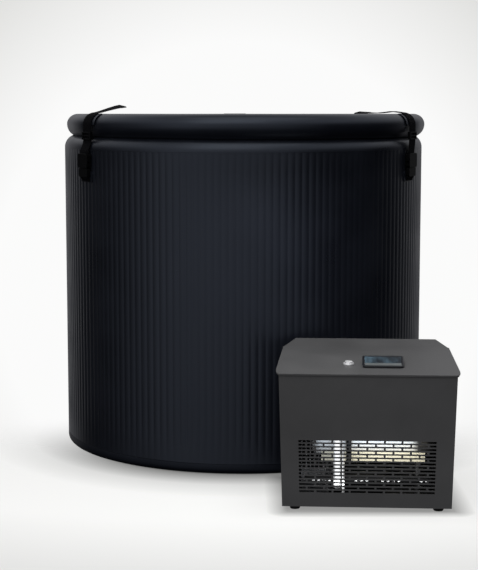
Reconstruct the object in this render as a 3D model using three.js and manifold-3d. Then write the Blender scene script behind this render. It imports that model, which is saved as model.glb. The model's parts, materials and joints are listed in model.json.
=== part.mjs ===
// A cold plunge tub: an inflated round tub, an inflated lid held down by three buckled straps,
// and the water chiller that stands in front of it.
// Millimetres, +Z up, front towards -Y. The origin is the middle of the tub's underside.
import * as THREE from "three";
import { mergeVertices } from "three/addons/utils/BufferGeometryUtils.js";
import Module from "manifold-3d";

const wasm = await Module();
wasm.setup();

// Driving dimensions of the tub
const TUB_RADIUS = 440;
const TUB_HEIGHT = 756;
const WALL = 62;
const SKIN = 3;
const RIB_COUNT = 168;
const RIB_DEPTH = 1.2;
const BASE_RAIL = 24;
const FLOOR = 50;
const LINER = 2;
const LID = 54;
const ROUND = 56;
const GAP = 0.3;

// Driving dimensions of the straps and their buckles
const STRAP_ANGLES = { left: -56, right: 62, rear: 183 };
const STRAP_WIDTH = 38;
const STRAP_THICK = 2;
const STRAP_STANDOFF = 3.1;
const BUCKLE_TOP = 716;
const BUCKLE_MOUTH = 683;

// Driving dimensions of the hose ports, the drain and the air valves
const PORT_ANGLES = { suction: 84, return: 96 };
const PORT_HEIGHT = 120;
const DRAIN_ANGLE = 180;
const DRAIN_HEIGHT = 85;
const PORT_BORE = 13;
const PORT_TUBE = 20;
const AIR_VALVE_ANGLE = 150;
const AIR_VALVE_HEIGHT = 620;
const LID_VALVE_RADIUS = 300;
const LID_VALVE_SUNK = 15;
const LID_OFFSET = 6;
const LID_DRAWN = 10;

// Driving dimensions of the chiller, in its own frame: middle of the front, x right, y back
const CHILLER = { x: 252, y: -749, turn: -3.6 };
const CASE_WIDTH = 364;
const CASE_FOOT_WIDTH = 348;
const CASE_DEPTH = 285;
const COVER_WIDTH = 376;
const COVER_FRONT = 287;
const CREASE = { y: 245, z: 304 };
const COVER_REAR = { y: 289, z: 315 };
const CORNER = { start: 190, cut: 34 };
const SHEET = 1.5;
const FOOT = 9;
const GRILLE = { rows: 15, slots: 8, rowPitch: 7.5, slotPitch: 36.6, slot: 32.4, height: 4.4, top: 148.8 };

const WELD = 1e-3;
const radians = THREE.MathUtils.degToRad;

const FINISH = {
  vinyl: new THREE.MeshStandardMaterial({ color: 0x22252c, roughness: 0.5, metalness: 0 }),
  liner: new THREE.MeshStandardMaterial({ color: 0x2b2f36, roughness: 0.45, metalness: 0 }),
  webbing: new THREE.MeshStandardMaterial({ color: 0x16171a, roughness: 0.9, metalness: 0 }),
  moulding: new THREE.MeshStandardMaterial({ color: 0x141518, roughness: 0.55, metalness: 0 }),
  casing: new THREE.MeshStandardMaterial({ color: 0x38383a, roughness: 0.6, metalness: 0.3 }),
  glass: new THREE.MeshStandardMaterial({ color: 0x0a0c10, roughness: 0.1, metalness: 0 }),
  chrome: new THREE.MeshStandardMaterial({ color: 0xd8dade, roughness: 0.15, metalness: 1 }),
  steel: new THREE.MeshStandardMaterial({ color: 0xb9bcc0, roughness: 0.35, metalness: 1 }),
  rubber: new THREE.MeshStandardMaterial({ color: 0x101010, roughness: 0.95, metalness: 0 }),
  whitePipe: new THREE.MeshStandardMaterial({ color: 0xe9eaec, roughness: 0.4, metalness: 0 }),
  brass: new THREE.MeshStandardMaterial({ color: 0xb08d4a, roughness: 0.3, metalness: 1 }),
};

// Closed three.js geometry to a solid and back, for the few shapes that need cutting
function solidOf(geometry) {
  const bare = geometry.index ? geometry.toNonIndexed() : geometry.clone();
  for (const name of Object.keys(bare.attributes)) {
    if (name !== "position") bare.deleteAttribute(name);
  }
  const welded = mergeVertices(bare, WELD);
  const vertProperties = welded.attributes.position.array;
  const triVerts = new Uint32Array(welded.index.array);
  return new wasm.Manifold(new wasm.Mesh({ numProp: 3, vertProperties, triVerts }));
}

function geometryOf(solid) {
  const { vertProperties, triVerts } = solid.getMesh();
  const geometry = new THREE.BufferGeometry();
  geometry.setAttribute("position", new THREE.Float32BufferAttribute(vertProperties, 3));
  geometry.setIndex(new THREE.Uint32BufferAttribute(triVerts, 1));
  const flat = geometry.toNonIndexed();
  flat.computeVertexNormals();
  return flat;
}

function cut(body, ...tools) {
  return geometryOf(tools.reduce((solid, tool) => solid.subtract(solidOf(tool)), solidOf(body)));
}

function join(first, ...others) {
  return geometryOf(others.reduce((solid, other) => solid.add(solidOf(other)), solidOf(first)));
}

function common(first, second) {
  return geometryOf(solidOf(first).intersect(solidOf(second)));
}

// Plane outlines
function arc(cx, cy, radius, from, to, steps) {
  return Array.from({ length: steps + 1 }, (_, i) => {
    const angle = radians(from + ((to - from) * i) / steps);
    return [cx + radius * Math.cos(angle), cy + radius * Math.sin(angle)];
  });
}

function roundedBox(x0, y0, x1, y1, radius, steps = 3) {
  return [
    ...arc(x1 - radius, y0 + radius, radius, -90, 0, steps),
    ...arc(x1 - radius, y1 - radius, radius, 0, 90, steps),
    ...arc(x0 + radius, y1 - radius, radius, 90, 180, steps),
    ...arc(x0 + radius, y0 + radius, radius, 180, 270, steps),
  ];
}

// The outline of a strip of even thickness along an open path
function stripOutline(path, thickness) {
  const side = (sign) => path.map(([x, y], i) => {
    const [ax, ay] = path[Math.max(i - 1, 0)];
    const [bx, by] = path[Math.min(i + 1, path.length - 1)];
    const length = Math.hypot(bx - ax, by - ay);
    const offset = (sign * thickness) / 2 / length;
    return [x - (by - ay) * offset, y + (bx - ax) * offset];
  });
  return [...side(1), ...side(-1).reverse()];
}

function shapeOf(outline, holes = []) {
  const shape = new THREE.Shape(outline.map(([x, y]) => new THREE.Vector2(x, y)));
  shape.holes = holes.map((hole) => new THREE.Path(hole.map(([x, y]) => new THREE.Vector2(x, y))));
  return shape;
}

function prism(outline, depth, holes) {
  return new THREE.ExtrudeGeometry(shapeOf(outline, holes), { depth, bevelEnabled: false });
}

// An outline drawn in x and z, pushed from yFront towards the back
function uprightPrism(outline, yFront, depth, holes) {
  return prism(outline, depth, holes).rotateX(Math.PI / 2).translate(0, yFront + depth, 0);
}

// An outline drawn in y and z, pushed from x towards +X
function sidePrism(outline, x, depth, holes) {
  const turn = new THREE.Matrix4().makeBasis(
    new THREE.Vector3(0, 1, 0),
    new THREE.Vector3(0, 0, 1),
    new THREE.Vector3(1, 0, 0),
  );
  return prism(outline, depth, holes).applyMatrix4(turn).translate(x, 0, 0);
}

function block(x0, x1, y0, y1, z0, z1) {
  return new THREE.BoxGeometry(x1 - x0, y1 - y0, z1 - z0)
    .translate((x0 + x1) / 2, (y0 + y1) / 2, (z0 + z1) / 2);
}

// A profile of [radius, height] pairs turned about Z, anticlockwise round the material
function revolve(profile, segments = 14) {
  const points = profile.map(([r, z]) => new THREE.Vector2(r, z));
  if (profile[0][0] > 0) points.push(points[0].clone());
  return new THREE.LatheGeometry(points, segments).rotateX(Math.PI / 2);
}

function rod(radius, z0, z1, segments = 14) {
  return revolve([[0, z0], [radius, z0], [radius, z1], [0, z1]], segments);
}

const alongX = (geometry) => geometry.rotateY(Math.PI / 2);
const alongY = (geometry) => geometry.rotateX(-Math.PI / 2);

function node(parent, name, geometry, material) {
  const mesh = new THREE.Mesh(geometry, material);
  mesh.name = name;
  parent.add(mesh);
  return mesh;
}

// A station on the tub's wall: x outwards, y along the wall, z up
function station(parent, angle) {
  const group = new THREE.Group();
  group.rotation.z = radians(angle - 90);
  parent.add(group);
  return group;
}

const toStation = (geometry, angle) => geometry.clone().rotateZ(radians(angle - 90));

// The wall, its skin, liner and the two rails that close it
const rimFoot = TUB_HEIGHT - WALL / 2;
const chamberInner = TUB_RADIUS - WALL + LINER;
const chamberOuter = TUB_RADIUS - SKIN - GAP;
const linerOuter = chamberInner - GAP;
const linerInner = linerOuter - LINER;

function wallCutters() {
  const bore = alongX(rod(PORT_TUBE + GAP, 350, 470)).translate(0, 0, PORT_HEIGHT);
  const drain = alongX(rod(PORT_TUBE + GAP, 350, 470)).translate(0, 0, DRAIN_HEIGHT);
  const valve = alongX(rod(18, 402, 470)).translate(0, 0, AIR_VALVE_HEIGHT);
  return [
    ...Object.values(PORT_ANGLES).map((angle) => toStation(bore, angle)),
    toStation(drain, DRAIN_ANGLE),
    toStation(valve, AIR_VALVE_ANGLE),
  ];
}

function ringOutline(radius, count, radiusAt = () => radius) {
  return Array.from({ length: count }, (_, i) => {
    const angle = (2 * Math.PI * i) / count;
    const r = radiusAt(i);
    return [r * Math.sin(angle), -r * Math.cos(angle)];
  });
}

function addTub(parent) {
  const cutters = wallCutters();
  const wallBottom = BASE_RAIL + GAP;
  const wallTop = rimFoot - GAP;

  const floor = revolve([
    [0, 0],
    ...arc(linerOuter - 4, 4, 4, -90, 0, 2),
    [linerOuter, FLOOR],
    [0, FLOOR],
  ], ROUND);
  node(parent, "floor_panel", floor, FINISH.vinyl);

  const base = revolve([
    [chamberInner, 0],
    ...arc(TUB_RADIUS - 12, 12, 12, -90, 0, 3),
    [TUB_RADIUS, BASE_RAIL],
    [chamberInner, BASE_RAIL],
  ], ROUND);
  node(parent, "base_rail", base, FINISH.vinyl);

  const chamber = revolve([
    [chamberInner, wallBottom],
    [chamberOuter, wallBottom],
    [chamberOuter, wallTop],
    [chamberInner, wallTop],
  ], ROUND);
  node(parent, "wall_chamber", cut(chamber, ...cutters), FINISH.vinyl);

  const ribAt = (i) => TUB_RADIUS - RIB_DEPTH * (1 - Math.sin((Math.PI * (i % 3)) / 3));
  const flutes = ringOutline(TUB_RADIUS, RIB_COUNT * 3, ribAt);
  const skin = prism(flutes, wallTop - wallBottom, [ringOutline(TUB_RADIUS - SKIN, ROUND)])
    .translate(0, 0, wallBottom);
  node(parent, "outer_skin", cut(skin, ...cutters), FINISH.vinyl);

  const liner = revolve([
    [0, FLOOR + GAP],
    [linerOuter, FLOOR + GAP],
    [linerOuter, wallTop],
    [linerInner, wallTop],
    [linerInner, FLOOR + GAP + LINER],
    [0, FLOOR + GAP + LINER],
  ], ROUND);
  node(parent, "inner_liner", cut(liner, ...cutters), FINISH.liner);

  const rim = revolve([
    [TUB_RADIUS - WALL, rimFoot],
    ...arc(TUB_RADIUS - WALL / 2, rimFoot, WALL / 2, 0, 180, 8).slice(0, -1),
  ], ROUND);
  node(parent, "rim_rail", rim, FINISH.vinyl);
}

// Hose ports: a fitting clamped through the wall and a ball valve with a hose tail
function portFitting(tubeEnd) {
  return alongX(revolve([
    [PORT_BORE, 368.8],
    [32, 368.8],
    [32, 374.8],
    [PORT_TUBE, 374.8],
    [PORT_TUBE, tubeEnd],
    [PORT_BORE, tubeEnd],
  ]));
}

function valveBody() {
  const body = revolve([
    [PORT_TUBE + GAP, 440.8],
    [29, 440.8],
    [29, 450],
    [24, 452],
    [24, 484],
    [17, 488],
    [17, 512],
    [PORT_BORE, 512],
    [PORT_BORE, 458.3],
    [PORT_TUBE + GAP, 458.3],
  ]);
  const boss = rod(9, 22, 32, 12).translate(470, 0, 0);
  return join(alongX(body), boss);
}

function valveLever() {
  const hub = rod(9, 32 + GAP, 40, 12).translate(470, 0, 0);
  const arm = prism(roundedBox(470, -7, 512, 7, 6.5), 4).translate(0, 0, 36);
  return join(hub, arm);
}

function addPorts(parent) {
  for (const [name, angle] of Object.entries(PORT_ANGLES)) {
    const place = station(parent, angle);
    place.position.z = PORT_HEIGHT;
    node(place, `${name}_fitting`, portFitting(458), FINISH.moulding);
    node(place, `${name}_valve`, valveBody(), FINISH.moulding);
    node(place, `${name}_lever`, valveLever(), FINISH.moulding);
  }
  const drain = station(parent, DRAIN_ANGLE);
  drain.position.z = DRAIN_HEIGHT;
  node(drain, "drain_fitting", portFitting(462), FINISH.moulding);
  const cap = revolve([
    [0, 462 + GAP],
    [PORT_TUBE + GAP, 462 + GAP],
    [PORT_TUBE + GAP, 441],
    [28, 441],
    [28, 464],
    [26, 467],
    [0, 467],
  ]);
  node(drain, "drain_cap", alongX(cap), FINISH.moulding);
}

// An inflation valve: a flanged seat let into the air chamber and a cap with a grip bar
function valveSeat(surface) {
  return revolve([
    [12, surface - 22],
    [17.5, surface - 22],
    [17.5, surface + 1],
    [28, surface + 1],
    [28, surface + 3.5],
    [12, surface + 3.5],
  ]);
}

function valveCap(surface) {
  const disc = revolve([
    [0, surface - 6],
    [11.5, surface - 6],
    [11.5, surface + 3.8],
    [22, surface + 3.8],
    [22, surface + 9],
    [20, surface + 11],
    [0, surface + 11],
  ]);
  return join(disc, block(-14, 14, -2, 2, surface + 10, surface + 15));
}

function addAirValves(tub, lid) {
  const wall = station(tub, AIR_VALVE_ANGLE);
  wall.position.z = AIR_VALVE_HEIGHT;
  node(wall, "wall_air_valve", alongX(valveSeat(TUB_RADIUS)), FINISH.moulding);
  node(wall, "wall_valve_cap", alongX(valveCap(TUB_RADIUS)), FINISH.moulding);
  const top = station(lid, AIR_VALVE_ANGLE);
  top.position.x = LID_OFFSET;
  const sunk = lidValveTop() - LID_VALVE_SUNK;
  node(top, "lid_air_valve", valveSeat(sunk).translate(LID_VALVE_RADIUS, 0, 0), FINISH.moulding);
  node(top, "lid_valve_cap", valveCap(sunk).translate(LID_VALVE_RADIUS, 0, 0), FINISH.moulding);
}

// The lid
const lidFoot = TUB_HEIGHT + GAP;
const lidTop = lidFoot + LID;

// The lid lies a little to the right of the tub's middle and is drawn down towards the rear.
// Corners are given in the frame of a station; at 90 degrees that is the tub's own frame.
function laid(geometry, angle = 90) {
  const sin = Math.sin(radians(angle));
  const cos = Math.cos(radians(angle));
  const places = geometry.getAttribute("position");
  for (let i = 0; i < places.count; i += 1) {
    const [x, y, z] = [places.getX(i), places.getY(i), places.getZ(i)];
    const free = LID_OFFSET * THREE.MathUtils.clamp((z - 722) / 23, 0, 1);
    const share = THREE.MathUtils.clamp((z - lidFoot) / LID, 0, 1);
    places.setXYZ(i, x + free * sin, y, z - share * drawnDown(y * sin - x * cos));
  }
  geometry.computeVertexNormals();
  return geometry;
}

function drawnDown(back) {
  return (LID_DRAWN * (TUB_RADIUS + back)) / (2 * TUB_RADIUS);
}

function lidValveTop() {
  return lidTop - drawnDown(-LID_VALVE_RADIUS * Math.cos(radians(AIR_VALVE_ANGLE)));
}

function addLid(parent) {
  const pad = revolve([
    [0, lidFoot],
    ...arc(TUB_RADIUS - LID / 2, lidFoot + LID / 2, LID / 2, -90, 90, 8),
    [0, lidTop],
  ], ROUND);
  const sunk = lidValveTop() - LID_VALVE_SUNK;
  const pocket = join(rod(18, sunk - 24, sunk + 5), rod(31, sunk, lidTop + 5, 24));
  const placed = toStation(pocket.translate(LID_VALVE_RADIUS, 0, 0), AIR_VALVE_ANGLE).translate(LID_OFFSET, 0, 0);
  node(parent, "lid_pad", cut(laid(pad), placed), FINISH.vinyl);
}

// The straps: each runs from a loose tail over a patch on the lid's edge and a slider to its buckle.
// Tails are [inward of the wall, above the lid]; the rear strap is sewn down behind the crest.
const TAILS = {
  left: { points: [[-92, 17.7], [-74, 14.7], [-58, 10.9], [-42, 6.8]], crest: 90 },
  right: { points: [[-138, 2.4], [-112, 1.8], [-84, 1.8], [-64, 3.4], [-48, 5.2], [-37, 4.4]], crest: 90 },
  rear: { points: [], crest: 60 },
};
const strapOut = TUB_RADIUS + STRAP_STANDOFF;
const buckleOut = TUB_RADIUS + 6.5;

function strap({ points, crest }) {
  const path = [
    ...points.map(([inward, up]) => [TUB_RADIUS + inward, lidTop + up]),
    ...arc(TUB_RADIUS - LID / 2, lidTop - LID / 2, LID / 2 + STRAP_STANDOFF, crest, 0, 7),
    [strapOut, 745],
    [buckleOut, 722],
    [buckleOut, BUCKLE_TOP - 8],
  ];
  return uprightPrism(stripOutline(path, STRAP_THICK), -STRAP_WIDTH / 2, STRAP_WIDTH);
}

function lidPatch() {
  const path = arc(TUB_RADIUS - LID / 2, lidTop - LID / 2, LID / 2 + 0.95, 78, 0, 8);
  return uprightPrism(stripOutline(path, 1.2), -30, 60);
}

function slider() {
  const outer = [[439.6, -24], [446.6, -24], [446.6, 24], [439.6, 24]];
  const inner = [[441.6, -19.8], [444.6, -19.8], [444.6, 19.8], [441.6, 19.8]];
  const sleeve = prism(outer, 18, [inner]).translate(0, 0, 748);
  const windows = [751, 758.5].map((z) => block(444, 448, -17, 17, z, z + 4.5));
  return cut(sleeve, ...windows);
}

function buckleSocket() {
  const face = roundedBox(-27, BUCKLE_MOUTH, 27, BUCKLE_TOP, 5);
  const shell = sidePrism(face, TUB_RADIUS + 1, 11);
  const webSlot = block(buckleOut - 1.9, buckleOut + 1.9, -20, 20, BUCKLE_TOP - 10, BUCKLE_TOP + 1);
  const mouth = block(TUB_RADIUS + 3.5, TUB_RADIUS + 9.5, -20.5, 20.5, BUCKLE_MOUTH - 1, 703);
  const sides = block(TUB_RADIUS + 3.5, TUB_RADIUS + 9.5, -30, 30, BUCKLE_MOUTH - 1, 698);
  return cut(shell, webSlot, mouth, sides);
}

function buckleClip() {
  const prong = (side) => [
    [side * 11, 680],
    [side * 17, 680],
    [side * 25.5, 687],
    [side * 25.5, 694],
    [side * 19, 697],
    [side * 15, 701],
    [side * 13, 701],
  ];
  const arms = [1, -1].map((side) => sidePrism(prong(side), TUB_RADIUS + 4, 5));
  const tongue = block(TUB_RADIUS + 4, TUB_RADIUS + 9, -4, 4, 680, 699);
  const base = sidePrism(roundedBox(-24, 662, 24, 682.4, 4), TUB_RADIUS + 2.5, 8);
  const webSlot = block(buckleOut - 1.9, buckleOut + 1.9, -20, 20, 660, 675);
  return cut(join(base, tongue, ...arms), webSlot);
}

// The patch follows the round wall; its webbing tab rises to the clip
function wallPatch() {
  const plate = new THREE.BoxGeometry(1.5, 56, 26, 1, 6, 1).translate(TUB_RADIUS + 1.15, 0, 663);
  const places = plate.getAttribute("position");
  for (let i = 0; i < places.count; i += 1) {
    const angle = places.getY(i) / TUB_RADIUS;
    const r = places.getX(i);
    places.setXY(i, r * Math.cos(angle), r * Math.sin(angle));
  }
  const path = [[TUB_RADIUS + 2.5, 651.5], [TUB_RADIUS + 2.5, 655], [buckleOut, 662.5], [buckleOut, 672]];
  const tab = uprightPrism(stripOutline(path, STRAP_THICK), -STRAP_WIDTH / 2, STRAP_WIDTH);
  return join(plate, tab);
}

function addStraps(tub, lid) {
  for (const [name, angle] of Object.entries(STRAP_ANGLES)) {
    const low = station(tub, angle);
    node(low, `wall_patch_${name}`, wallPatch(), FINISH.webbing);
    node(low, `buckle_clip_${name}`, buckleClip(), FINISH.moulding);
    const high = station(lid, angle);
    node(high, `lid_patch_${name}`, laid(lidPatch(), angle), FINISH.vinyl);
    node(high, `strap_${name}`, laid(strap(TAILS[name]), angle), FINISH.webbing);
    const outward = LID_OFFSET * Math.sin(radians(angle));
    node(high, `slider_${name}`, slider().translate(outward, 0, 0), FINISH.moulding);
    node(high, `buckle_socket_${name}`, buckleSocket(), FINISH.moulding);
  }
}

// The chiller's casing narrows towards its feet
function narrowed(geometry) {
  const places = geometry.getAttribute("position");
  for (let i = 0; i < places.count; i += 1) {
    const drop = (COVER_FRONT - places.getZ(i)) / (COVER_FRONT - FOOT);
    const width = CASE_WIDTH - (CASE_WIDTH - CASE_FOOT_WIDTH) * drop;
    places.setX(i, (places.getX(i) * width) / CASE_WIDTH);
  }
  geometry.computeVertexNormals();
  return geometry;
}

const coverSlope = Math.atan2(CREASE.z - COVER_FRONT, CREASE.y + 3);

// The space taken by the cover and everything above it, seen from the side
function aboveCover() {
  const outline = [
    [-10, COVER_FRONT - 3],
    [CREASE.y, CREASE.z - 2 - GAP],
    [COVER_REAR.y + 5, COVER_REAR.z - 1],
    [COVER_REAR.y + 5, 400],
    [-10, 400],
  ];
  return sidePrism(outline, -250, 500);
}

function grilleSlots() {
  const slots = [];
  const half = (GRILLE.slots * GRILLE.slotPitch) / 2;
  const bar = GRILLE.slotPitch - GRILLE.slot;
  for (let row = 0; row < GRILLE.rows; row += 1) {
    const top = GRILLE.top - row * GRILLE.rowPitch;
    const shift = row % 2 ? GRILLE.slotPitch / 2 : 0;
    for (let i = 0; i <= GRILLE.slots; i += 1) {
      const centre = -half + GRILLE.slotPitch * (i + 0.5) - shift;
      const from = Math.max(centre - GRILLE.slot / 2, -half + bar / 2);
      const to = Math.min(centre + GRILLE.slot / 2, half - bar / 2);
      if (to - from > GRILLE.height) {
        slots.push(block(from, to, -5, 5, top - GRILLE.height, top));
      }
    }
  }
  return slots;
}

function coverSheet() {
  const profile = [
    [-3, COVER_FRONT],
    [CREASE.y, CREASE.z],
    [COVER_REAR.y, COVER_REAR.z],
    [COVER_REAR.y, COVER_REAR.z - 2],
    [CREASE.y + 0.2, CREASE.z - 2],
    [-1.4, COVER_FRONT - 1.9],
    [-1.4, COVER_FRONT - 3.5],
    [-3, COVER_FRONT - 3.5],
  ];
  const half = COVER_WIDTH / 2;
  const plan = [
    ...arc(-half + 10, 7, 10, 180, 270, 4),
    ...arc(half - 10, 7, 10, 270, 360, 4),
    [half, CORNER.start],
    [half - CORNER.cut, COVER_REAR.y],
    [-half + CORNER.cut, COVER_REAR.y],
    [-half, CORNER.start],
  ];
  const folded = sidePrism(profile, -half - 1, COVER_WIDTH + 2);
  return common(folded, prism(plan, 60).translate(0, 0, COVER_FRONT - 20));
}

const DISPLAY = { x: 32.5, y: 52, width: 86, depth: 62 };
const BUTTON = { x: -39, y: 82 };

// A frame lying on the sloped cover: x right, y up the slope, z out of the cover
function onCover(parent, x, y) {
  const group = new THREE.Group();
  group.rotation.x = coverSlope;
  group.position.set(x, y, COVER_FRONT + (y + 3) * Math.tan(coverSlope));
  parent.add(group);
  return group;
}

function displayModule() {
  const half = DISPLAY.width / 2;
  const wedge = sidePrism([[0, GAP], [DISPLAY.depth, GAP], [DISPLAY.depth, 12], [0, 4]], -half, DISPLAY.width);
  const plan = prism(roundedBox(-half, 0, half, DISPLAY.depth, 8), 20);
  const box = block(-35, 35, 8, 54, -30, 1);
  const window = sidePrism([[5, 3.6], [57, 10.3], [57, 20], [5, 20]], -half + 5, DISPLAY.width - 10);
  return join(cut(common(wedge, plan), window), box);
}

function buttonBezel() {
  return revolve([
    [8.8, -18],
    [9.8, -18],
    [9.8, GAP],
    [11.5, GAP],
    [11.5, 2.5],
    [10.5, 4],
    [8.8, 4],
  ], 18);
}

function buttonPlunger() {
  return revolve([
    [0, -12],
    [8.4, -12],
    [8.4, 6.2],
    [7.4, 7.4],
    [4, 8],
    [0, 8.2],
  ], 18);
}

function addCasing(parent) {
  const half = CASE_WIDTH / 2;
  const above = aboveCover();
  const foot = FOOT + GAP;

  const front = block(-half, half, 0, SHEET, foot, 300);
  node(parent, "front_panel", narrowed(cut(front, above, ...grilleSlots())), FINISH.casing);

  const sideOutline = [[SHEET + GAP, foot], [CORNER.start, foot], [CORNER.start, 310], [SHEET + GAP, 310]];
  const left = sidePrism(sideOutline, -half, SHEET);
  const right = sidePrism(sideOutline, half - SHEET, SHEET);
  node(parent, "left_panel", narrowed(cut(left, above)), FINISH.casing);
  node(parent, "right_panel", narrowed(cut(right, above)), FINISH.casing);

  const wingFoot = CORNER.start + GAP;
  const bend = [
    [-half, wingFoot],
    [-half + SHEET, wingFoot],
    [-half + CORNER.cut + 0.9, CASE_DEPTH - SHEET],
    [half - CORNER.cut - 0.9, CASE_DEPTH - SHEET],
    [half - SHEET, wingFoot],
    [half, wingFoot],
    [half - CORNER.cut, CASE_DEPTH],
    [-half + CORNER.cut, CASE_DEPTH],
  ];
  const rear = prism(bend, 320 - foot).translate(0, 0, foot);
  const outlets = [];
  for (let row = 0; row < 9; row += 1) {
    const z = 62 + row * 16;
    const reach = Math.sqrt(72 ** 2 - (z - FAN.z + 3) ** 2);
    outlets.push(block(FAN.x - reach, FAN.x - 3, CASE_DEPTH - 5, CASE_DEPTH + 5, z, z + 8));
    outlets.push(block(FAN.x + 3, FAN.x + reach, CASE_DEPTH - 5, CASE_DEPTH + 5, z, z + 8));
  }
  const unionHoles = UNIONS.map(({ x, z }) => alongY(rod(15, 270, 300)).translate(x, 0, z));
  const inletHole = block(INLET.x - 14, INLET.x + 14, 270, 300, INLET.z - 10, INLET.z + 10);
  const pierced = cut(narrowed(cut(rear, above)), ...outlets, ...unionHoles, inletHole);
  node(parent, "rear_panel", pierced, FINISH.casing);

  const displayHole = block(-36, 36, 7, 55, -8, 8);
  const buttonHole = rod(10.3, -8, 8, 18);
  const tilt = (geometry, x, y) => geometry.rotateX(coverSlope)
    .translate(x, y, COVER_FRONT + (y + 3) * Math.tan(coverSlope));
  const cover = cut(
    coverSheet(),
    tilt(displayHole, DISPLAY.x, DISPLAY.y),
    tilt(buttonHole, BUTTON.x, BUTTON.y),
  );
  node(parent, "top_cover", cover, FINISH.casing);
  node(onCover(parent, DISPLAY.x, DISPLAY.y), "display_module", displayModule(), FINISH.glass);
  const button = onCover(parent, BUTTON.x, BUTTON.y);
  node(button, "button_bezel", buttonBezel(), FINISH.chrome);
  node(button, "power_button", buttonPlunger(), FINISH.chrome);

  const panHalf = (CASE_FOOT_WIDTH / 2) - SHEET - 0.6;
  const pan = [
    [-panHalf, SHEET + 0.4],
    [panHalf, SHEET + 0.4],
    [panHalf, CORNER.start],
    [panHalf - CORNER.cut + 1, CASE_DEPTH - SHEET - 0.4],
    [-panHalf + CORNER.cut - 1, CASE_DEPTH - SHEET - 0.4],
    [-panHalf, CORNER.start],
  ];
  const hollow = pan.map(([x, y]) => [x * 0.982, 145 + (y - 145) * 0.982]);
  const tray = cut(prism(pan, 16).translate(0, 0, FOOT), prism(hollow, 20).translate(0, 0, FOOT + 2));
  node(parent, "base_pan", tray, FINISH.casing);

  const rubber = [[0, 0], [9.5, 0], [10.5, 1.5], [12, FOOT - GAP], [0, FOOT - GAP]];
  const feet = { front_left: [-148, 22], front_right: [148, 22], rear_left: [-132, 255], rear_right: [132, 255] };
  for (const [name, [x, y]] of Object.entries(feet)) {
    node(parent, `foot_${name}`, revolve(rubber, 12).translate(x, y, 0), FINISH.rubber);
  }
}

// The chiller's works
const FAN = { x: -55, y: 258, z: 130 };
const UNIONS = [{ name: "water_inlet", x: 92, z: 205 }, { name: "water_outlet", x: 92, z: 110 }];
const INLET = { x: 104, z: 52 };
const trayTop = FOOT + 2 + GAP;

function fanRotor() {
  const hub = alongY(rod(19, FAN.y - 9, FAN.y + 9, 18));
  const blades = Array.from({ length: 7 }, (_, i) => {
    const outline = [[14, -13], [40, -17], [70, -23], [71, 10], [45, 15], [14, 12]];
    const blade = prism(outline, 2).translate(0, 0, -1).rotateX(radians(24));
    return blade.rotateX(Math.PI / 2).rotateY((2 * Math.PI * i) / 7).translate(0, FAN.y, 0);
  });
  return join(hub, ...blades).translate(FAN.x, 0, FAN.z);
}

function fanShroud() {
  const half = 84;
  const ringHole = arc(0, 0, 76, 0, 360, 32).slice(0, -1);
  const frame = uprightPrism(roundedBox(-half, -half, half, half, 10), 232, CASE_DEPTH - SHEET - GAP - 232, [ringHole]);
  const arms = [90, 210, 330].map((angle) =>
    uprightPrism([[0, -5], [80, -5], [80, 5], [0, 5]], 232, 5).rotateY(radians(-angle)));
  const motor = alongY(rod(22, 232, FAN.y - 9 - GAP, 18));
  return join(frame, ...arms, motor).translate(FAN.x, 0, FAN.z);
}

// Upright fins between two headers, open to the air from front to back
function finBlock() {
  const fins = 19;
  const width = 168;
  const pitch = (width - 2) / (fins - 1);
  const plates = Array.from({ length: fins }, (_, i) => {
    const x = -width / 2 + i * pitch;
    return block(x, x + 2, 204, 232 - GAP, 36, 228);
  });
  const header = (z0, z1) => block(-width / 2, width / 2, 204, 232 - GAP, z0, z1);
  const headers = [header(trayTop, 40), header(224, 230)];
  return join(...headers, ...plates).translate(FAN.x, 0, 0);
}

function compressor() {
  const can = revolve([
    [0, trayTop + 8],
    [44, trayTop + 8],
    [52, trayTop + 16],
    [52, 148],
    [40, 162],
    [0, 168],
  ], 24);
  const base = prism(roundedBox(-58, -58, 58, 58, 22), 9).translate(0, 0, trayTop);
  const accumulator = join(rod(17, 60, 140, 14), block(-6, 40, -6, 6, 70, 84)).translate(-66, 0, 0);
  return join(can, base, accumulator).translate(95, 180, 0);
}

// The barrel lies along x on two welded saddles
function barrel() {
  const profile = [
    [0, -127],
    [26, -127],
    ...arc(26, -111, 16, -90, 0, 3).slice(1),
    ...arc(26, 111, 16, 0, 90, 3),
    [0, 127],
  ];
  const saddle = [[-30, trayTop], [30, trayTop], [30, trayTop + 4], [22, 118], [-22, 118], [-30, trayTop + 4]];
  const legs = [-94, 92].map((x) => sidePrism(saddle, x - 3, 6));
  const drum = alongX(revolve(profile, 22)).translate(0, 0, 150);
  return join(drum, ...legs).translate(12, 64, 0);
}

function circulationPump() {
  const motor = alongX(rod(30, -24, 62)).translate(0, 0, 56);
  const volute = alongX(rod(36, -52, -24)).translate(0, 0, 56);
  const base = block(-48, 56, -26, 26, trayTop, 34);
  const outlet = alongY(rod(10, -44, 0, 14)).translate(-38, 0, 50);
  return join(motor, volute, base, outlet).translate(-23, 66, 0);
}

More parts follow.
